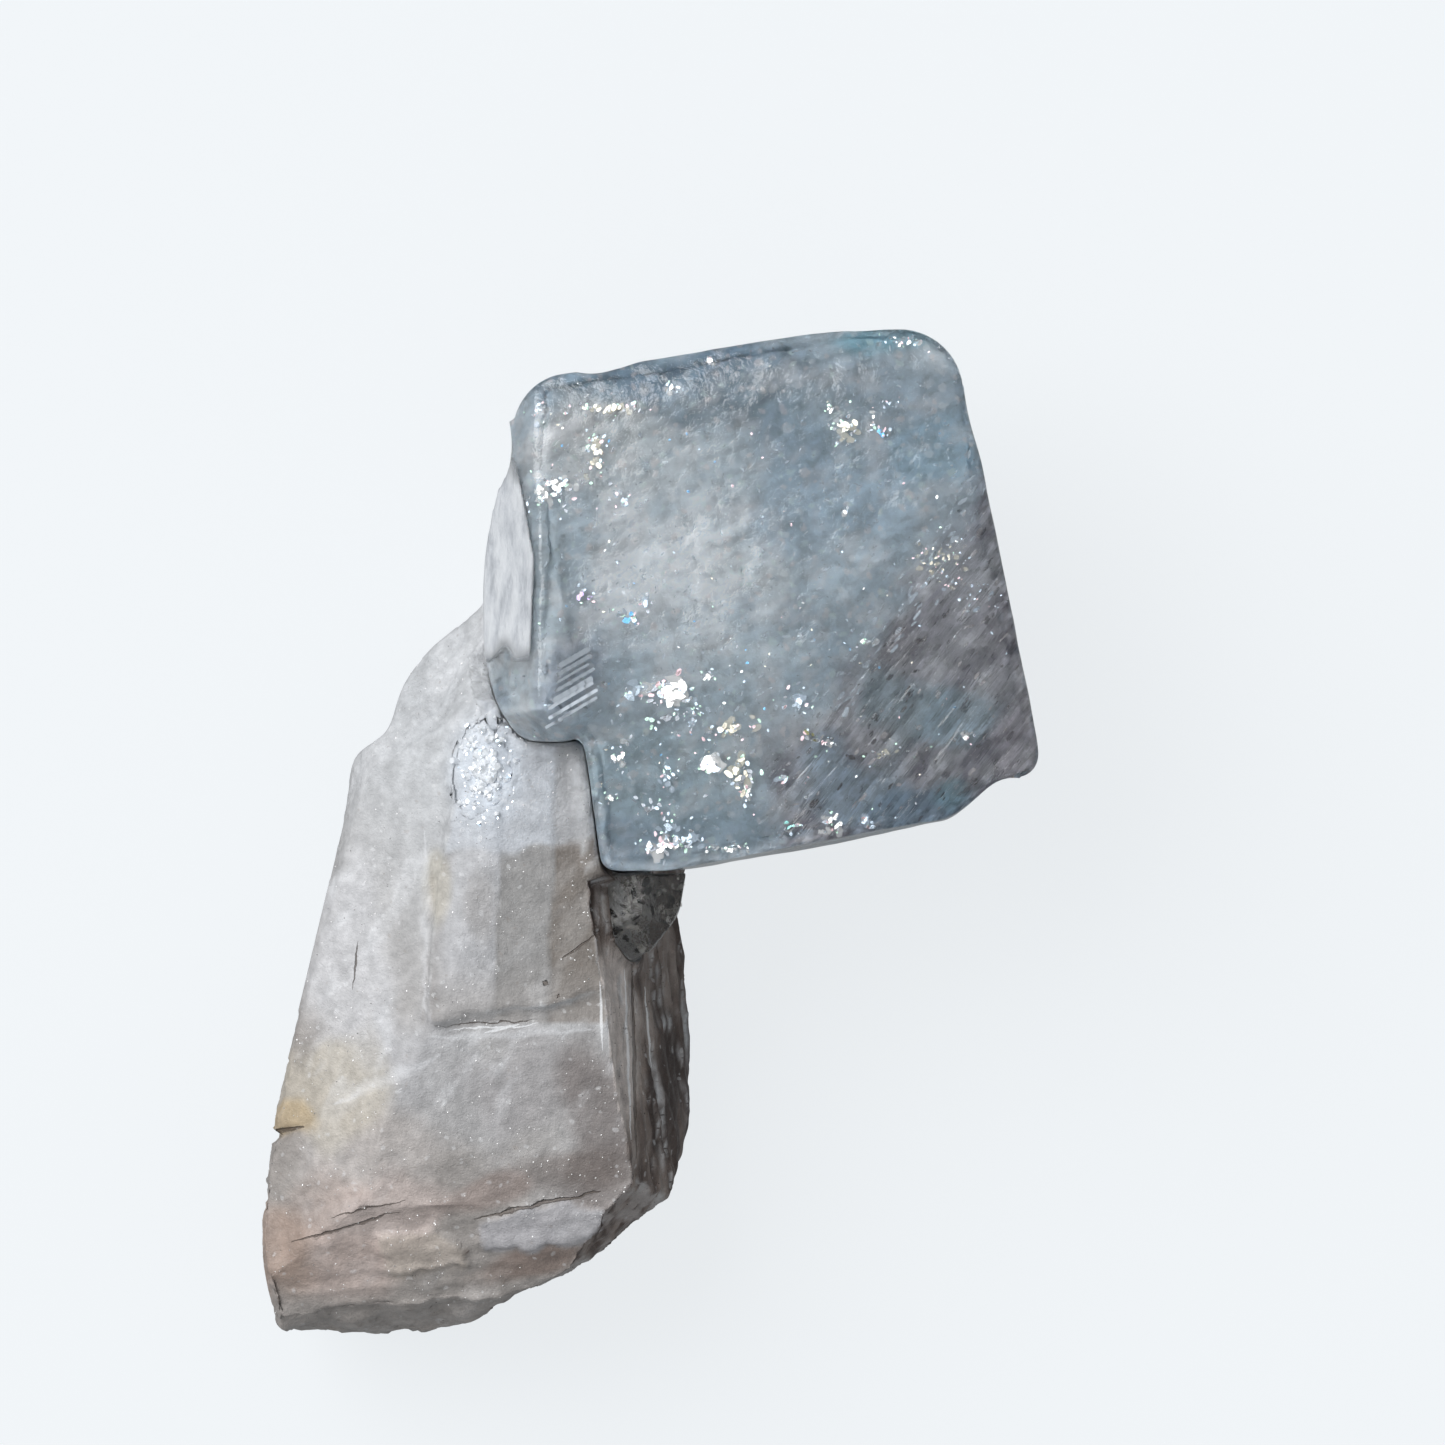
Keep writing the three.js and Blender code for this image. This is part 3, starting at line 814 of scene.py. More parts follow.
# Soft patches of colour in the crystal, seen from above:
# (x, y), reach, how much the patch leans, its colour on screen, how strong it is.
CRYSTAL_PATCHES = [
    # painted shade: the dark band along the upper edge stands for the darkening that the bevelled edge
    # gives
    ((0.2, 9.15), (3.6, 0.75), 0.17, (84, 104, 124), 0.95),
    ((-1.4, 8.8), (1.2, 0.6), 0.3, (92, 114, 132), 0.85),
    ((1.7, 8.65), (2.2, 0.80), 0.30, (86, 98, 108), 0.90),
    ((-1.4, 7.9), (1.3, 1.1), 0.0, (178, 178, 180), 0.80),
    ((-0.2, 7.4), (1.6, 1.1), 0.0, (182, 188, 192), 0.75),
    ((1.6, 7.4), (1.7, 1.2), 0.0, (168, 180, 190), 0.80),
    ((0.6, 5.4), (2.7, 1.9), 0.1, (222, 229, 238), 1.00),
    ((2.2, 5.6), (1.2, 1.0), 0.2, (188, 198, 205), 0.70),
    ((3.6, 6.9), (1.9, 1.7), 0.0, (131, 153, 174), 0.85),
    ((4.1, 5.2), (1.4, 1.1), 0.0, (146, 163, 178), 0.70),
    ((2.9, 4.5), (0.4, 0.7), 0.5, (112, 120, 128), 0.60),
    ((2.9, 7.9), (1.3, 1.0), 0.0, (104, 122, 138), 0.80),
    ((4.8, 8.8), (2.1, 1.1), 0.0, (110, 124, 137), 0.85),
    ((5.8, 7.7), (1.0, 0.9), 0.0, (108, 138, 160), 0.80),
    # painted shade: a dark teal strip along the far edge at the upper right, for the same darkening at that
    # edge
    ((4.9, 9.9), (1.7, 0.34), 0.02, (96, 140, 160), 0.90),
    ((3.2, 3.8), (1.0, 0.9), 0.7, (118, 136, 151), 0.75),
    ((1.2, 3.5), (2.0, 0.8), 0.0, (164, 177, 187), 0.70),
    ((2.9, 1.8), (0.9, 0.9), 0.0, (126, 126, 132), 0.70),
    ((4.1, 1.2), (1.4, 1.1), 0.0, (118, 132, 148), 0.75),
    ((0.2, 1.2), (2.2, 1.4), 0.0, (122, 142, 154), 0.85),
    ((-0.5, 0.0), (1.0, 0.7), 0.0, (98, 116, 133), 0.80),
    ((1.9, 0.3), (1.3, 0.7), 0.0, (100, 117, 131), 0.85),
    ((-1.9, 5.4), (0.6, 1.5), 0.0, (136, 150, 160), 0.80),
    ((-0.7, 3.9), (1.1, 0.6), 0.0, (136, 148, 158), 0.70),
    ((-2.8, 3.1), (0.8, 1.3), 0.0, (182, 194, 204), 0.95),
    ((-1.5, 3.1), (0.8, 1.0), 0.5, (124, 134, 149), 0.90),
    ((-2.9, 2.9), (0.4, 0.5), 0.0, (104, 118, 134), 0.75),
]
BROKEN_PATCHES = [
    ((5.0, 3.9), (1.0, 0.7), 0.6, (94, 92, 97), 0.75),
    ((6.5, 5.3), (0.8, 0.9), 0.4, (140, 142, 150), 0.60),
    ((6.3, 6.8), (0.5, 0.9), 0.8, (112, 106, 116), 0.70),
    ((4.9, 2.7), (1.1, 0.9), 0.0, (92, 112, 122), 0.65),
    ((4.1, 1.0), (1.5, 1.3), 0.0, (106, 126, 144), 0.75),
    ((5.3, 0.5), (1.2, 0.9), 0.0, (76, 94, 112), 0.85),
    ((6.2, 2.5), (1.1, 0.8), 0.0, (118, 140, 155), 0.75),
    ((6.1, 1.0), (0.6, 0.5), 0.0, (86, 124, 142), 0.70),
    ((7.1, 1.9), (0.6, 0.9), 0.3, (122, 116, 124), 0.60),
]


def cloud_tint(point, normal):
    """The colour of the veil inside the crystal. Its opacity says how thick the veil is."""
    rough = rough_zone(point)
    small = noise.fractal(point * 1.9, 0.75, 2.1, 4)
    fine = noise.fractal(point * 5.2, 0.7, 2.0, 2)
    tone = painted((146, 161, 174), point, CRYSTAL_PATCHES, 0.55, 0.9)
    across, forward = along_slant(point)
    slant = Vector((across, forward * 0.22, point.z))
    streak = noise.fractal(slant * 2.6, 0.7, 2.0, 3)
    broken = blend((122, 120, 127), (166, 165, 171), smoothstep(0.05, 0.5, streak))
    broken = blend(broken, (76, 74, 82), 0.85 * smoothstep(0.1, 0.5, -streak))
    tone = blend(tone, painted(broken, point, BROKEN_PATCHES, 0.6, 1.1), rough)
    tone = blend(tone, (176, 166, 164), 0.30 * smoothstep(0.1, 0.5, small) * (1 - rough))
    tone = blend(tone, (120, 144, 160), 0.25 * smoothstep(0.1, 0.5, -small) * (1 - rough))
    # painted shade: the veil on the side walls is tinted a darker blue, most where they face along y, for
    # the dark rim that refraction gives the edges; not on the small crystal's tip
    edge = (1 - smoothstep(0.25, 0.75, normal.z)) * (0.2 + 0.3 * abs(normal.y))
    tone = blend(tone, (118, 146, 168), edge * smoothstep(-2.2, -1.6, point.x))
    colour = veiled(*tone)
    amount = 1 + 0.11 * small + 0.09 * fine
    thick = 0.97 + 0.05 * small + 0.06 * fine
    return (*(v * amount for v in colour), min(max(thick, 0.05), 1.0))


# Small soft spots in the veil: cells in a millimetre, how many show, their colour, how strong they are.
VEIL_SPOTS = [
    (3.6, 0.45, (0.97, 0.98, 1.0), 0.34),
    (4.7, 0.30, (0.97, 0.86, 0.84), 0.34),
    (5.1, 0.25, (0.84, 0.97, 0.92), 0.34),
    (4.2, 0.30, (0.36, 0.46, 0.56), 0.26),
]


def cloud_material(speckle):
    material, graph, shader, _ = new_material("veils in the crystal")
    place = graph.millimetres()
    tint = graph.attribute("tint")
    rough = graph.attribute("rough")["Fac"]
    fine = graph.noise(place, 3.2, 6.0, 0.62, 0.4)
    flecks = graph.noise(graph.turned(place, turn=(0, 0, -50), scale=(1.6, 8.0, 5.0)), 1.0, 5.0, 0.7)
    drift = graph.noise(graph.turned(place, turn=(0, 0, -24), scale=(0.8, 3.2, 3.2)), 1.0, 5.0, 0.62)
    soft = graph.scaled(tint["Color"], graph.ramp(fine, 0.28, 0.72, 0.87, 1.12))
    soft = graph.scaled(soft, graph.ramp(drift, 0.3, 0.7, 0.84, 1.14))
    for scale, share, colour, amount in VEIL_SPOTS:
        spots = graph.group(speckle, {"Place": place, "Scale": scale, "Share": share, "Size": 0.42})["Mask"]
        soft = graph.mix(graph.math("MULTIPLY", spots, amount), soft, (*colour, 1))
    broken = graph.scaled(tint["Color"], graph.ramp(flecks, 0.3, 0.7, 0.52, 1.45))
    colour = graph.mix(rough, soft, broken)
    alpha = graph.math("MULTIPLY", tint["Alpha"], graph.ramp(fine, 0.30, 0.55, 0.90, 1.08), clamp=True)
    graph.put(shader, {"Base Color": colour, "Roughness": 0.5, "IOR": VEIL_IOR})
    graph.put(shader, {"Alpha": alpha, "Normal": graph.bump(fine, 0.05)})
    return material


VEIL_DEPTH = 0.06  # how far inside the crystal the veil lies, and how much farther below the upper faces
VEIL_FACE_DEPTH = 0.32
VEIL_CORNER_DEPTH = 0.08


def make_veil(speckle):
    """The milky inside: a mottled veil that follows the crystal's faces a little way in."""
    shell = fine_copy("euclase_crystal", VEIL_CELL, 3)

    def sink(point, normal):
        swell = 1 + 0.5 * noise.fractal(point * 0.9, 0.9, 2.0, 3)
        return -VEIL_DEPTH - VEIL_FACE_DEPTH * smoothstep(0.3, 0.9, normal.z) * max(swell, 0.2)

    carve(shell, sink)
    fill_out(shell)
    round_corners(shell, VEIL_CORNER_DEPTH)
    mark(shell, "tint", cloud_tint)
    mark_share(shell, "rough", rough_zone)
    piece("milky_veil", shell, cloud_material(speckle))


WHITE = (1.0, 1.0, 1.0)
CREAM = (1.0, 0.95, 0.8)
ICE = (0.72, 0.86, 1.0)
MIST = (0.35, 0.38, 0.42)
PINK = (0.95, 0.70, 0.75)
GREEN = (0.62, 0.90, 0.74)
SKY = (0.20, 0.55, 0.95)
VIOLET = (0.75, 0.6, 1.0)
OLIVE = (0.20, 0.20, 0.10)
AQUA = (0.35, 0.85, 0.8)
# Groups of glints below the upper faces: (x, y), spread, count, chip size, colour.
GLINTS = [
    ((0.42, 2.98), (0.20, 0.13), 9, 0.20, WHITE),
    ((-0.26, 2.96), (0.16, 0.10), 4, 0.15, ICE),
    ((0.85, 2.45), (0.14, 0.14), 5, 0.10, ICE),
    ((0.2, 2.4), (0.30, 0.12), 4, 0.14, MIST),
    ((1.18, 3.25), (0.08, 0.10), 2, 0.11, WHITE),
    ((1.62, 2.2), (0.26, 0.13), 8, 0.11, CREAM),
    ((1.22, 1.50), (0.08, 0.06), 3, 0.26, WHITE),
    ((1.78, 1.30), (0.16, 0.22), 8, 0.14, CREAM),
    ((1.98, 0.95), (0.05, 0.10), 2, 0.12, WHITE),
    ((-0.55, 1.7), (0.08, 0.14), 4, 0.10, WHITE),
    ((0.42, 1.28), (0.12, 0.12), 4, 0.09, ICE),
    ((-0.78, 0.84), (0.10, 0.06), 3, 0.08, WHITE),
    ((0.05, 0.66), (0.16, 0.12), 4, 0.12, MIST),
    ((0.40, 0.25), (0.10, 0.16), 4, 0.10, ICE),
    ((0.30, -0.12), (0.22, 0.08), 7, 0.16, WHITE),
    ((0.72, 0.06), (0.16, 0.08), 5, 0.14, ICE),
    ((1.60, -0.16), (0.40, 0.05), 7, 0.06, WHITE),
    ((-1.95, 7.0), (0.22, 0.18), 12, 0.13, WHITE),
    ((-0.75, 8.62), (0.34, 0.08), 9, 0.11, CREAM),
    ((-1.05, 7.70), (0.10, 0.28), 8, 0.11, CREAM),
    ((0.5, 9.02), (0.10, 0.06), 2, 0.10, WHITE),
    ((1.22, 9.50), (0.06, 0.06), 2, 0.10, WHITE),
    ((-0.5, 6.75), (0.14, 0.10), 5, 0.09, ICE),
    ((-2.2, 8.6), (0.14, 0.12), 4, 0.07, ICE),
    ((3.62, 8.58), (0.05, 0.05), 2, 0.08, WHITE),
    ((3.90, 8.20), (0.16, 0.14), 7, 0.12, CREAM),
    ((4.44, 8.36), (0.04, 0.10), 2, 0.08, WHITE),
    ((4.60, 8.08), (0.07, 0.07), 3, 0.12, SKY),
    ((4.78, 8.70), (0.12, 0.06), 3, 0.06, ICE),
    ((3.88, 6.54), (0.03, 0.06), 1, 0.10, WHITE),
    ((5.75, 5.50), (0.34, 0.26), 14, 0.07, CREAM),
    ((6.55, 4.85), (0.40, 0.30), 8, 0.06, ICE),
    ((4.26, 3.94), (0.16, 0.05), 2, 0.10, WHITE),
    ((2.96, 2.70), (0.12, 0.10), 4, 0.13, ICE),
    ((3.54, 1.96), (0.07, 0.07), 2, 0.10, WHITE),
    ((3.28, 2.08), (0.10, 0.14), 3, 0.15, OLIVE),
    ((2.72, 1.24), (0.07, 0.08), 2, 0.11, ICE),
    ((3.68, 0.30), (0.12, 0.12), 5, 0.12, WHITE),
    ((4.36, 0.36), (0.12, 0.10), 3, 0.12, ICE),
    ((4.75, 1.70), (0.20, 0.14), 4, 0.07, CREAM),
    ((6.36, 2.06), (0.08, 0.05), 2, 0.09, WHITE),
    ((-0.36, 4.42), (0.10, 0.08), 4, 0.12, SKY),
    ((-1.32, 4.84), (0.10, 0.07), 3, 0.11, VIOLET),
    ((-0.02, 4.72), (0.08, 0.08), 2, 0.11, ICE),
    ((2.90, 0.26), (0.12, 0.08), 3, 0.09, AQUA),
    ((5.05, 9.95), (0.25, 0.06), 4, 0.09, WHITE),
]
LOOSE_GLINTS = 340
LOWEST_GLINT = 0.35  # a face whose normal rises less than this holds no glints
GLINT_PAINTED_GLOW = 0.35  # painted glow that the chips give off, standing for what the bright crystal round a chip adds to it
WISPS = 1900
EDGE_FLAKES = 130
# painted glow of the small inclusions, standing in for the light that the crystal round them sends in
WISP_PAINTED_GLOW = 0.16
# painted glow that brightens the pale striae, whose face turns away from the main light
STRIA_PAINTED_GLOW = 0.14


def chip_material(name, roughness, glow):
    """A material that takes its colour from the chips and gives off a painted glow of that colour."""
    material, graph, shader, _ = new_material(name)
    tint = graph.attribute("tint")
    colour = tint["Color"]
    graph.put(shader, {"Base Color": colour, "Roughness": roughness})
    graph.put(shader, {"Emission Color": colour, "Emission Strength": glow})
    return material, graph, shader, tint


def glint_material():
    # Metal chips that reflect the main light, with a painted glow on top.
    material, graph, shader, _ = chip_material("bright cleavage chips", 0.22, GLINT_PAINTED_GLOW)
    graph.put(shader, {"Metallic": 1.0})
    return material


def glint_normal(surface):
    """The way a chip faces, below a surface, to send the main light up."""
    down = refracted(-VIEW_FROM, surface, 1 / EUCLASE_IOR)
    inward = refracted(-KEY_FROM, surface, 1 / EUCLASE_IOR)
    return -(down + inward).normalized()


def make_glints(skin):
    chips = Chips(21)
    draw = chips.random

    def glint(x, y, reach, colour):
        place, surface = skin.top(x, y)
        if place is None or surface.z < LOWEST_GLINT:
            return
        facing = (glint_normal(surface) + 0.05 * chips.direction()).normalized()
        depth = draw.uniform(0.03, 0.09)
        level = draw.uniform(0.4, 0.9) if colour == WHITE else draw.uniform(0.25, 0.6)
        chips.add(place - surface * depth, facing, reach, [v * level for v in colour])

    def near(x, y, wide, high):
        return draw.gauss(x, wide), draw.gauss(y, high)

    for (x, y), (wide, high), count, size, colour in GLINTS:
        for _ in range(count):
            glint(*near(x, y, 0.6 * wide, 0.6 * high), size * draw.uniform(0.3, 0.75), colour)
            for _ in range(3):
                halo = draw.choice((MIST, MIST, ICE, PINK, GREEN))
                glint(*near(x, y, 1.3 * wide, 1.3 * high), size * draw.uniform(0.15, 0.5), halo)
    for _ in range(LOOSE_GLINTS):
        colour = draw.choice((ICE, ICE, MIST, WHITE, CREAM, PINK, GREEN, SKY))
        x, y = draw.uniform(-2.4, 7.4), draw.uniform(-0.4, 10.0)
        if noise.noise(Vector((x, y, 0)) * 0.7) > draw.uniform(-0.4, 0.3):
            glint(x, y, draw.uniform(0.012, 0.04), colour)
    chips.finish("cleavage_glints", glint_material())


def wisp_material(name, glow):
    """Small bright or dark flakes. glow is a painted glow for the light that the crystal round them sends
    in.
    """
    material, graph, shader, tint = chip_material(name, 0.35, glow)
    graph.put(shader, {"Alpha": tint["Alpha"]})
    return material


def add_wisps(chips, skin, box):
    """Small pale and dark inclusions below the faces. They lie along the slant in the broken part."""
    draw = chips.random
    slant = Vector((*SLANT, 0))
    (left, front, _), (right, back, _) = box
    for _ in range(WISPS):
        place, surface = skin.top(draw.uniform(left, right), draw.uniform(front, back))
        if place is None or place.z < 3:
            continue
        place = place - surface * draw.uniform(0.06, 0.4)
        if skin.depth(place) < 0.04:
            continue
        rough = rough_zone(place)
        dark = draw.random() < 0.5 * rough
        if dark:
            colour = blend(shade(96, 112, 128), shade(76, 70, 76), rough)
        else:
            colour = blend(shade(210, 220, 230), shade(206, 200, 200), rough)
        reach = draw.uniform(0.02, 0.07) * (1 + rough * draw.random())
        facing = (0.35 * chips.direction() + UP).normalized()
        run = slant + 0.25 * chips.direction() if draw.random() < 0.25 + 0.7 * rough else None
        chips.add(place, facing, reach, colour, draw.uniform(0.15, 0.55), slender=0.18, run=run)


def add_edge_flakes(chips, skin):
    """Thin pale flakes along the edge of the broken part."""
    draw = chips.random
    slant = Vector((*SLANT, 0))
    for _ in range(EDGE_FLAKES):
        y = draw.uniform(2.4, 8.2)
        place, surface = skin.top(along(ROUGH_EDGE, y) + draw.gauss(0.1, 0.26), y)
        if place is None:
            continue
        place = place - surface * draw.uniform(0.03, 0.12)
        run = slant + 0.3 * chips.direction()
        reach = draw.uniform(0.03, 0.13)
        colour = shade(210, 222, 232)
        chips.add(place, surface, reach, colour, draw.uniform(0.15, 0.6), slender=0.14, run=run)


def add_painted_glare(chips, skin):
    """Larger faint flakes round the brightest glints, glowing as painted glare."""
    draw = chips.random
    for (x, y), (wide, high), count, size, colour in GLINTS:
        if colour not in (WHITE, CREAM, ICE):
            continue
        for _ in range(count):
            place, surface = skin.top(draw.gauss(x, wide), draw.gauss(y, high))
            if place is None or surface.z < LOWEST_GLINT:
                continue
            place = place - surface * draw.uniform(0.12, 0.22)
            # painted glare: a pale glowing tone for the halo round each bright glint
            glare_tone = shade(*(150 + 95 * v for v in colour))
            facing = (surface + 0.2 * chips.direction()).normalized()
            reach = size * draw.uniform(0.5, 1.0)
            chips.add(place, facing, reach, glare_tone, draw.uniform(0.3, 0.7), slender=0.5)


def make_wisps(skin, box):
    """All the small soft inclusions, and the painted glare round the brightest glints, in one piece."""
    chips = Chips(4)
    add_wisps(chips, skin, box)
    add_edge_flakes(chips, skin)
    add_painted_glare(chips, skin)
    chips.finish("inclusions_and_painted_glare", wisp_material("small inclusions", WISP_PAINTED_GLOW))


STRIAE = 8
STRIA_START = (-2.06, 2.26)  # the left end of the lowest ridge
STRIA_STEP = (0.03, 0.17)  # from one ridge to the next
STRIA_RISE = 0.59  # how far a ridge goes up for each millimetre to the right
STRIA_PARTS = 5
STRIA_HEIGHT = 0.012


def make_striae(skin):
    """Pale parallel ridges on the small crystal's slanting face, brightened with a painted glow."""
    bm = bmesh.new()
    tint = bm.verts.layers.float_color.new("tint")
    draw = random.Random(6)
    for step in range(STRIAE):
        left = STRIA_START[0] + STRIA_STEP[0] * step + draw.uniform(0.0, 0.12)
        low = STRIA_START[1] + STRIA_STEP[1] * step + draw.uniform(0, 0.04)
        reach = 1.00 - 0.06 * step + draw.uniform(-0.16, 0.03)
        width = draw.uniform(0.04, 0.11)
        level = 220 - 7 * step + draw.uniform(-30, 12)
        tone = (level - 8, level, level + 8)
        places = []
        for part in range(STRIA_PARTS + 1):
            across = reach * part / STRIA_PARTS
            place, surface = skin.top(left + across, low + STRIA_RISE * across)
            places.append(place + surface * STRIA_HEIGHT / 2)
        for start, end in zip(places, places[1:]):
            run = end - start
            size = Matrix.Diagonal((run.length * 1.1, width, STRIA_HEIGHT, 1))
            lie = lying(UP, run.normalized())
            middle = Matrix.Translation((start + end) / 2)
            made = bmesh.ops.create_cube(bm, size=1.0, matrix=middle @ lie @ size)
            for vertex in made["verts"]:
                vertex[tint] = (*shade(*tone), 0.7)
    material = wisp_material("pale striae", STRIA_PAINTED_GLOW)
    piece("pale_striae", mesh_from(bm, "pale_striae"), material, smooth=False)


def make_euclase(speckle):
    mesh = fine_copy("euclase_crystal", CRYSTAL_CELL, 4)
    carve(mesh, euclase_relief)
    fill_out(mesh)
    round_corners(mesh, 0)
    mark_share(mesh, "rough", rough_zone)
    skin = Skin(mesh)
    box = extent(mesh)
    make_rind(mesh)
    piece("blue_crystal", mesh, euclase_material(), "euclase_crystal")
    make_veil(speckle)
    make_glints(skin)
    make_wisps(skin, box)
    make_striae(skin)
    return skin


# ---- the small crystal's white rind ----

RIND_LIFT = 0.012  # how far it stands off the crystal
RIND_THICKNESS = 0.03
RIND_DULL = (183, 187, 193)
RIND_PALE = (208, 211, 215)
RIND_EDGE = ((3.6, -2.3), (5.6, -2.22), (7.4, -2.55))  # (y, x) of the large crystal's left edge


def rind_share(point):
    """1 where white feldspar coats the small crystal."""
    across = 1 - smoothstep(-0.10, -0.02, point.x - along(RIND_EDGE, point.y))
    ragged = 0.35 * noise.noise(point * 1.6)
    return across * between(4.0 + ragged, 7.2 + ragged, 0.5, point.y) * smoothstep(5.4, 5.9, point.z)


def rind_material():
    material, graph, shader, _ = new_material("white rind")
    place = graph.millimetres()
    share = graph.attribute("share")["Fac"]
    uneven = graph.noise(graph.turned(place, scale=(3.0, 1.0, 3.0)), 1.2, 6.0, 0.65)
    colour = graph.mix(graph.ramp(uneven, 0.34, 0.62), (*shade(*RIND_DULL), 1), (*shade(*RIND_PALE), 1))
    alpha = graph.math("MULTIPLY", share, graph.ramp(uneven, 0.3, 0.45, 0.85, 1.0))
    normal = graph.bump(uneven, 0.08)
    graph.put(shader, {"Base Color": colour, "Roughness": 0.5, "Alpha": alpha, "Normal": normal})
    return material


def make_rind(crystal):
    bm = bmesh.new()
    bm.from_mesh(crystal)
    bmesh.ops.delete(bm, geom=[v for v in bm.verts if rind_share(v.co) < 0.02], context="VERTS")
    bm.normal_update()
    for vertex in bm.verts:
        vertex.co += vertex.normal * RIND_LIFT
    bmesh.ops.solidify(bm, geom=bm.faces, thickness=RIND_THICKNESS)
    mesh = mesh_from(bm, "white_rind")
    mark_share(mesh, "share", rind_share)
    piece("white_rind", mesh, rind_material())


# ---- the smoky crystal ----

SMOKY_SPECKS = 90
SPECK_DEPTH = 0.05  # how far inside the surface they stay
SPECK_FLOOR = 5.2  # the lowest height at which there are any


def smoky_material():
    material, graph, shader, out = new_material("smoky quartz")
    place = graph.millimetres()
    normal = graph.bump(graph.noise(place, 3.0, 5.0, 0.6), 0.10)
    graph.put(shader, {"Roughness": 0.04, "Normal": normal, "IOR": QUARTZ_IOR})
    make_clear(graph, shader, out, SMOKY_BODY, SMOKY_DENSITY)
    return material


def make_smoky():
    mesh = fine_copy("smoky_quartz", SMOKY_CELL, 2)
    carve(mesh, lambda point, normal: -max(0.01 + 0.04 * noise.fractal(point * 1.8, 0.8, 2.0, 3), 0.0))
    skin = Skin(mesh)
    low, high = extent(mesh)
    piece("smoky_crystal", mesh, smoky_material(), "smoky_quartz")
    chips = Chips(8)
    draw = chips.random
    made = 0
    while made < SMOKY_SPECKS:
        place = Vector([draw.uniform(a, b) for a, b in zip(low, high)])
        if skin.depth(place) < SPECK_DEPTH or place.z < SPECK_FLOOR:
            continue
        made += 1
        dark = draw.random() < 0.45
        colour = shade(20, 17, 15) if dark else shade(205, 203, 198)
        chips.add(place, (chips.direction() + UP).normalized(), draw.uniform(0.03, 0.14), colour, 0.9)
    chips.finish("smoky_inclusions", wisp_material("specks in the smoky quartz", 0.0))
    return skin


# ---- the patch of tiny clear crystals ----

DRUSE_CRYSTALS = 150
DRUSE_ROOT = 0.04  # how deep each one stands in the feldspar
DRUSE_SPARKLES = 60
FELDSPAR_SPARKLES = 1100
DUST_LIFT = 0.004  # how far above the feldspar its sparkles are


def on_druse(reach, turn, wider=(0.0, 0.0)):
    """x and y of a place on the patch, whose rim is at a reach of 1. The patch may be a little wider."""
    x = DRUSE_MIDDLE[0] + (DRUSE_REACH[0] + wider[0]) * reach * math.cos(turn)
    y = DRUSE_MIDDLE[1] + (DRUSE_REACH[1] + wider[1]) * reach * math.sin(turn)
    return x, y


def druse_material():
    material, graph, shader, _ = new_material("clear quartz")
    place = graph.millimetres()
    normal = graph.bump(graph.noise(place, 9.0, 3.0, 0.6), 0.02)
    graph.put(shader, {"Base Color": (0.93, 0.96, 1.0, 1), "Roughness": 0.12, "Normal": normal})
    graph.put(shader, {"IOR": QUARTZ_IOR, "Transmission Weight": 0.15})
    return material


def make_druse(rock):
    """Pointed six-sided crystals, each standing in the feldspar at its own angle."""
    bm = bmesh.new()
    draw = random.Random(12)
    for _ in range(DRUSE_CRYSTALS):
        reach = min(abs(draw.gauss(0, 0.55)), 1.1)
        turn = draw.uniform(0, math.tau)
        place, normal = rock.top(*on_druse(reach, turn))
        radius = draw.uniform(0.03, 0.10) * (1.15 - 0.4 * reach)
        length = radius * draw.uniform(1.6, 3.0)
        lean = Vector((draw.gauss(0, 0.5), draw.gauss(0, 0.5), draw.uniform(0, 0.6)))
        facing = (normal + lean).normalized()
        lie = facing.to_track_quat("Z", "Y").to_matrix().to_4x4()
        base = Matrix.Translation(place - normal * DRUSE_ROOT) @ lie
        made = bmesh.ops.create_cone(
            bm,
            cap_ends=True,
            segments=6,
            radius1=radius,
            radius2=radius,
            depth=length,
            matrix=base @ Matrix.Rotation(draw.uniform(0, math.tau), 4, "Z"),
        )
        cap = max(
            {face for vertex in made["verts"] for face in vertex.link_faces},
            key=lambda face: face.calc_center_median().dot(facing),
        )
        tip = bmesh.ops.poke(bm, faces=[cap])["verts"]
        bmesh.ops.translate(bm, verts=tip, vec=facing * radius * draw.uniform(0.9, 1.4))
    mesh = mesh_from(bm, "quartz_druse")
    piece("quartz_druse", mesh, druse_material(), "clear_druse", smooth=False)


def sparkle(chips, place, reach, colour):
    """A small bright chip in the open air that sends the main light up and gives off a painted glow."""
    facing = ((VIEW_FROM + KEY_FROM).normalized() + 0.06 * chips.direction()).normalized()
    chips.add(place, facing, reach, colour)


def make_sparkles(rock):
    """Bright points: many on the druse, and a fine dust of them on the feldspar."""
    chips = Chips(33)
    draw = chips.random
    for _ in range(DRUSE_SPARKLES):
        reach = math.sqrt(draw.random())
        turn = draw.uniform(0, math.tau)
        place, _ = rock.top(*on_druse(reach, turn, wider=(0.1, 0.15)))
        level = draw.uniform(0.2, 1.0)
        tone = [v * level for v in draw.choice((WHITE, ICE, ICE, MIST))]
        sparkle(chips, place + UP * draw.uniform(0.12, 0.3), draw.uniform(0.015, 0.055), tone)
    chips.finish("druse_sparkles", glint_material())

    chips = Chips(34)
    draw = chips.random
    made = 0
    while made < FELDSPAR_SPARKLES:
        x, y = draw.uniform(-7.8, 0.4), draw.uniform(-9.6, 4.0)
        place, normal = rock.top(x, y)
        if place is None or place.z < 3 or noise.noise(place * 0.8) < draw.uniform(-0.4, 0.5):
            continue
        made += 1
        level = draw.uniform(0.05, 0.30)
        sparkle(chips, place + normal * DUST_LIFT, draw.uniform(0.006, 0.020), (level, level, level))
    chips.finish("feldspar_sparkles", glint_material())


# ---- the stage ----

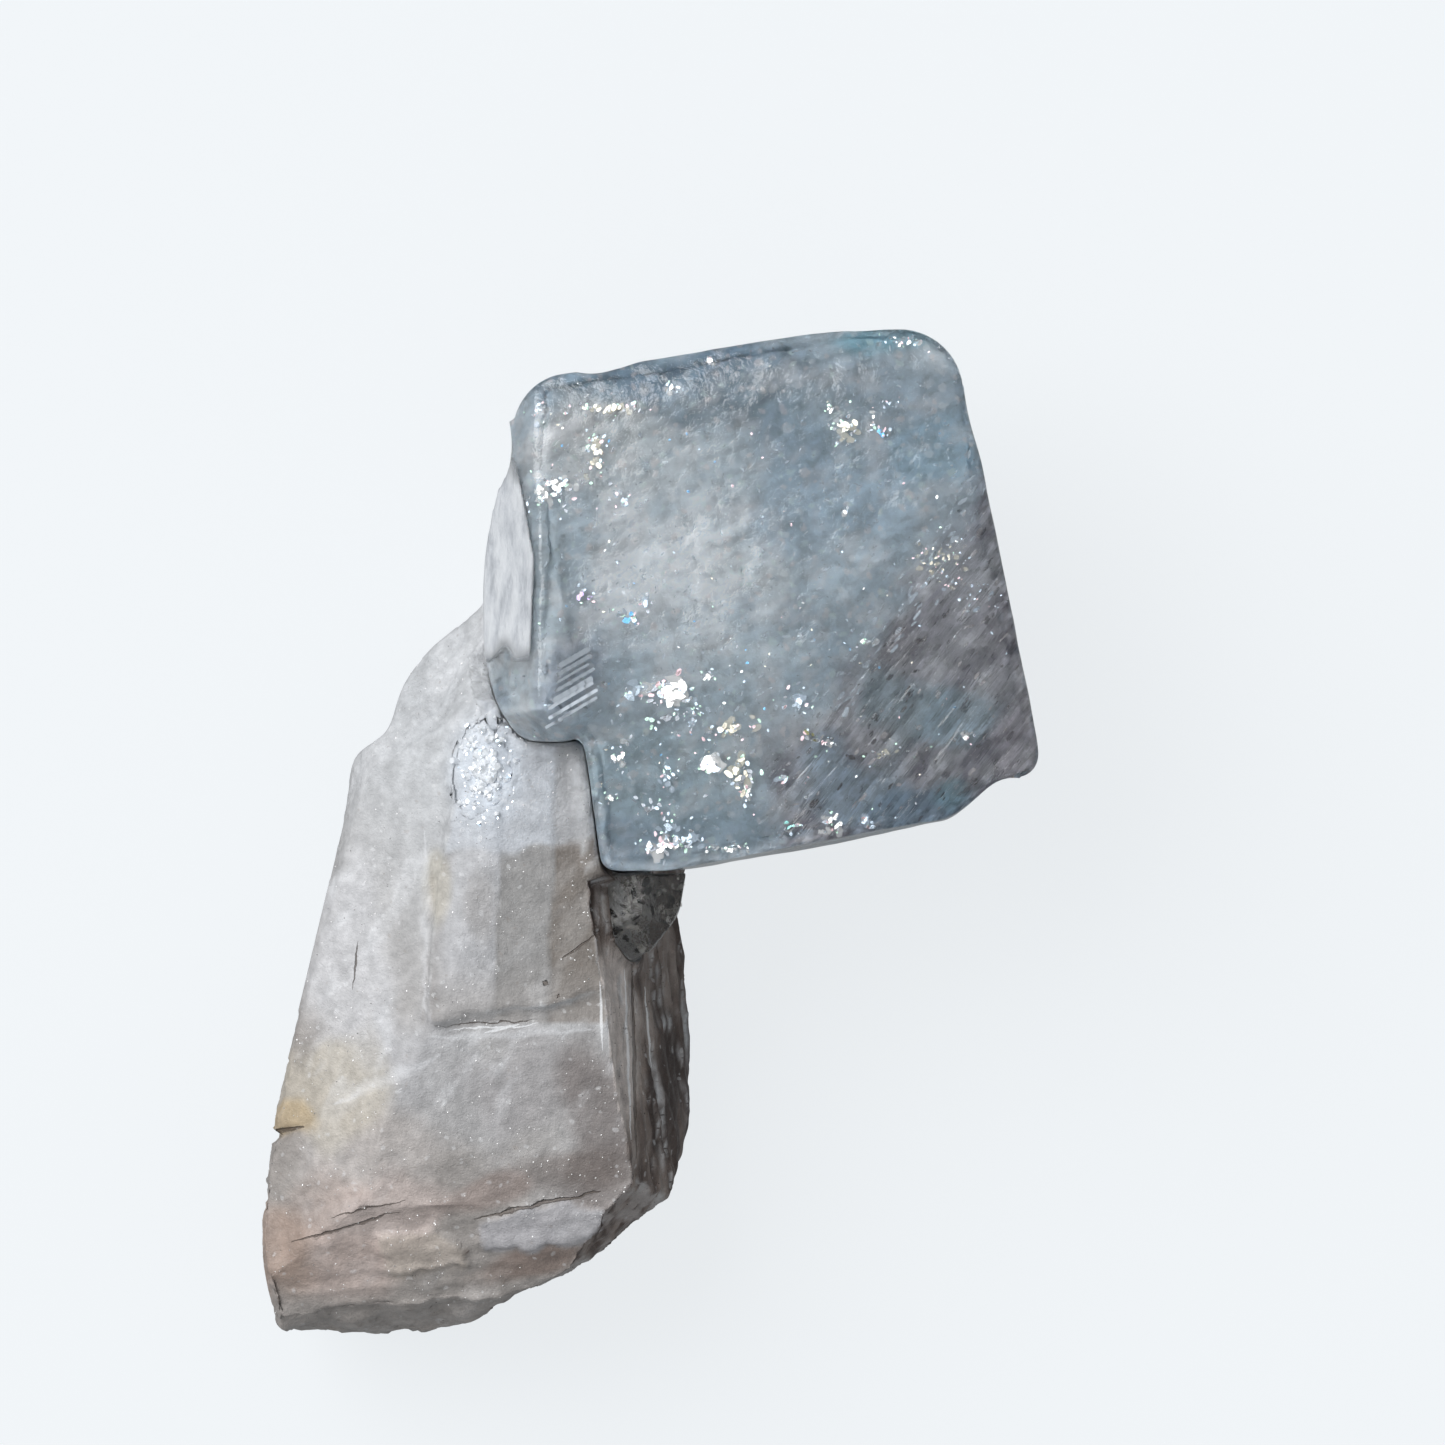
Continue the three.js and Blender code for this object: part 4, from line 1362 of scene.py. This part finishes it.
FLOOR_SIZE = 2.0
FLOOR_TONE = (0.13, 0.135, 0.14, 1)
FLOOR_GLOW_TONE = (0.862, 0.892, 0.915, 1)
FLOOR_GLOW = 0.34  # how much light the floor gives the specimen, and how pale it looks itself
FLOOR_GLOW_SEEN = 0.87
SKY_SEEN = 0.92
LIGHT_DISTANCE = 0.6
CAMERA_PLACE = (0.00147, 0.00235, 0.22)
FOCUS_LEVEL = 0.0065  # the height at which the camera takes in FRAME_WIDTH
FRAME_WIDTH = 0.0289
SENSOR_WIDTH = 36


def make_floor():
    bm = bmesh.new()
    bmesh.ops.create_grid(bm, x_segments=1, y_segments=1, size=FLOOR_SIZE)
    mesh = mesh_from(bm, "floor")
    material, graph, shader, _ = new_material("pale floor")
    seen = graph.add("ShaderNodeLightPath").outputs["Is Camera Ray"]
    glow = graph.pick(seen, FLOOR_GLOW, FLOOR_GLOW_SEEN)
    graph.put(shader, {"Base Color": FLOOR_TONE, "Roughness": 0.9, "Specular IOR Level": 0.0})
    graph.put(shader, {"Emission Color": FLOOR_GLOW_TONE, "Emission Strength": glow})
    mesh.materials.append(material)
    placed("floor", mesh)


def make_light():
    light = bpy.data.lights.new("softbox", "AREA")
    light.size = 0.5
    light.energy = 3.2
    obj = placed("softbox", light, KEY_FROM * LIGHT_DISTANCE)
    obj.rotation_euler = (-KEY_FROM).to_track_quat("-Z", "Y").to_euler()


def make_sky():
    """A studio that is bright overhead and darker near the horizon. The backdrop itself looks pale."""
    world = bpy.data.worlds.new("studio")
    world.use_nodes = True
    graph = Graph(world.node_tree)
    background = world.node_tree.nodes["Background"]
    direction = graph.add("ShaderNodeTexCoord").outputs["Generated"]
    height = graph.add("ShaderNodeSeparateXYZ", {0: direction}).outputs["Z"]
    strength = graph.ramp(height, 0.05, 0.75, 0.10, 0.62)
    seen = graph.add("ShaderNodeLightPath").outputs["Is Camera Ray"]
    strength = graph.pick(seen, strength, SKY_SEEN)
    graph.put(background, {"Color": (0.95, 0.98, 1.0, 1), "Strength": strength})
    bpy.context.scene.world = world


def make_camera():
    """Straight above the specimen, as far off as a macro lens is held."""
    camera = bpy.data.cameras.new("camera")
    camera.sensor_width = SENSOR_WIDTH
    camera.lens = SENSOR_WIDTH * (CAMERA_PLACE[2] - FOCUS_LEVEL) / FRAME_WIDTH
    camera.clip_start = 0.01
    camera.clip_end = 10
    bpy.context.scene.camera = placed("camera", camera, CAMERA_PLACE)


def set_render_look():
    scene = bpy.context.scene
    scene.view_settings.view_transform = "Standard"
    scene.cycles.max_bounces = 5
    scene.cycles.transmission_bounces = 5
    scene.cycles.diffuse_bounces = 3
    scene.cycles.transparent_max_bounces = 8
    scene.cycles.blur_glossy = 0.0


make_camera()
make_light()
make_sky()
set_render_look()
crack = crack_group()
speckle = speckle_group()
# In another order the renderer turns the surfaces inside the glass black: the smoky crystal goes
# before the blue one, and the floor last.
smoky_skin = make_smoky()
blue_skin = make_euclase(speckle)
rock_skin = make_feldspar(crack, speckle, [blue_skin, smoky_skin])
make_druse(rock_skin)
make_sparkles(rock_skin)
make_floor()
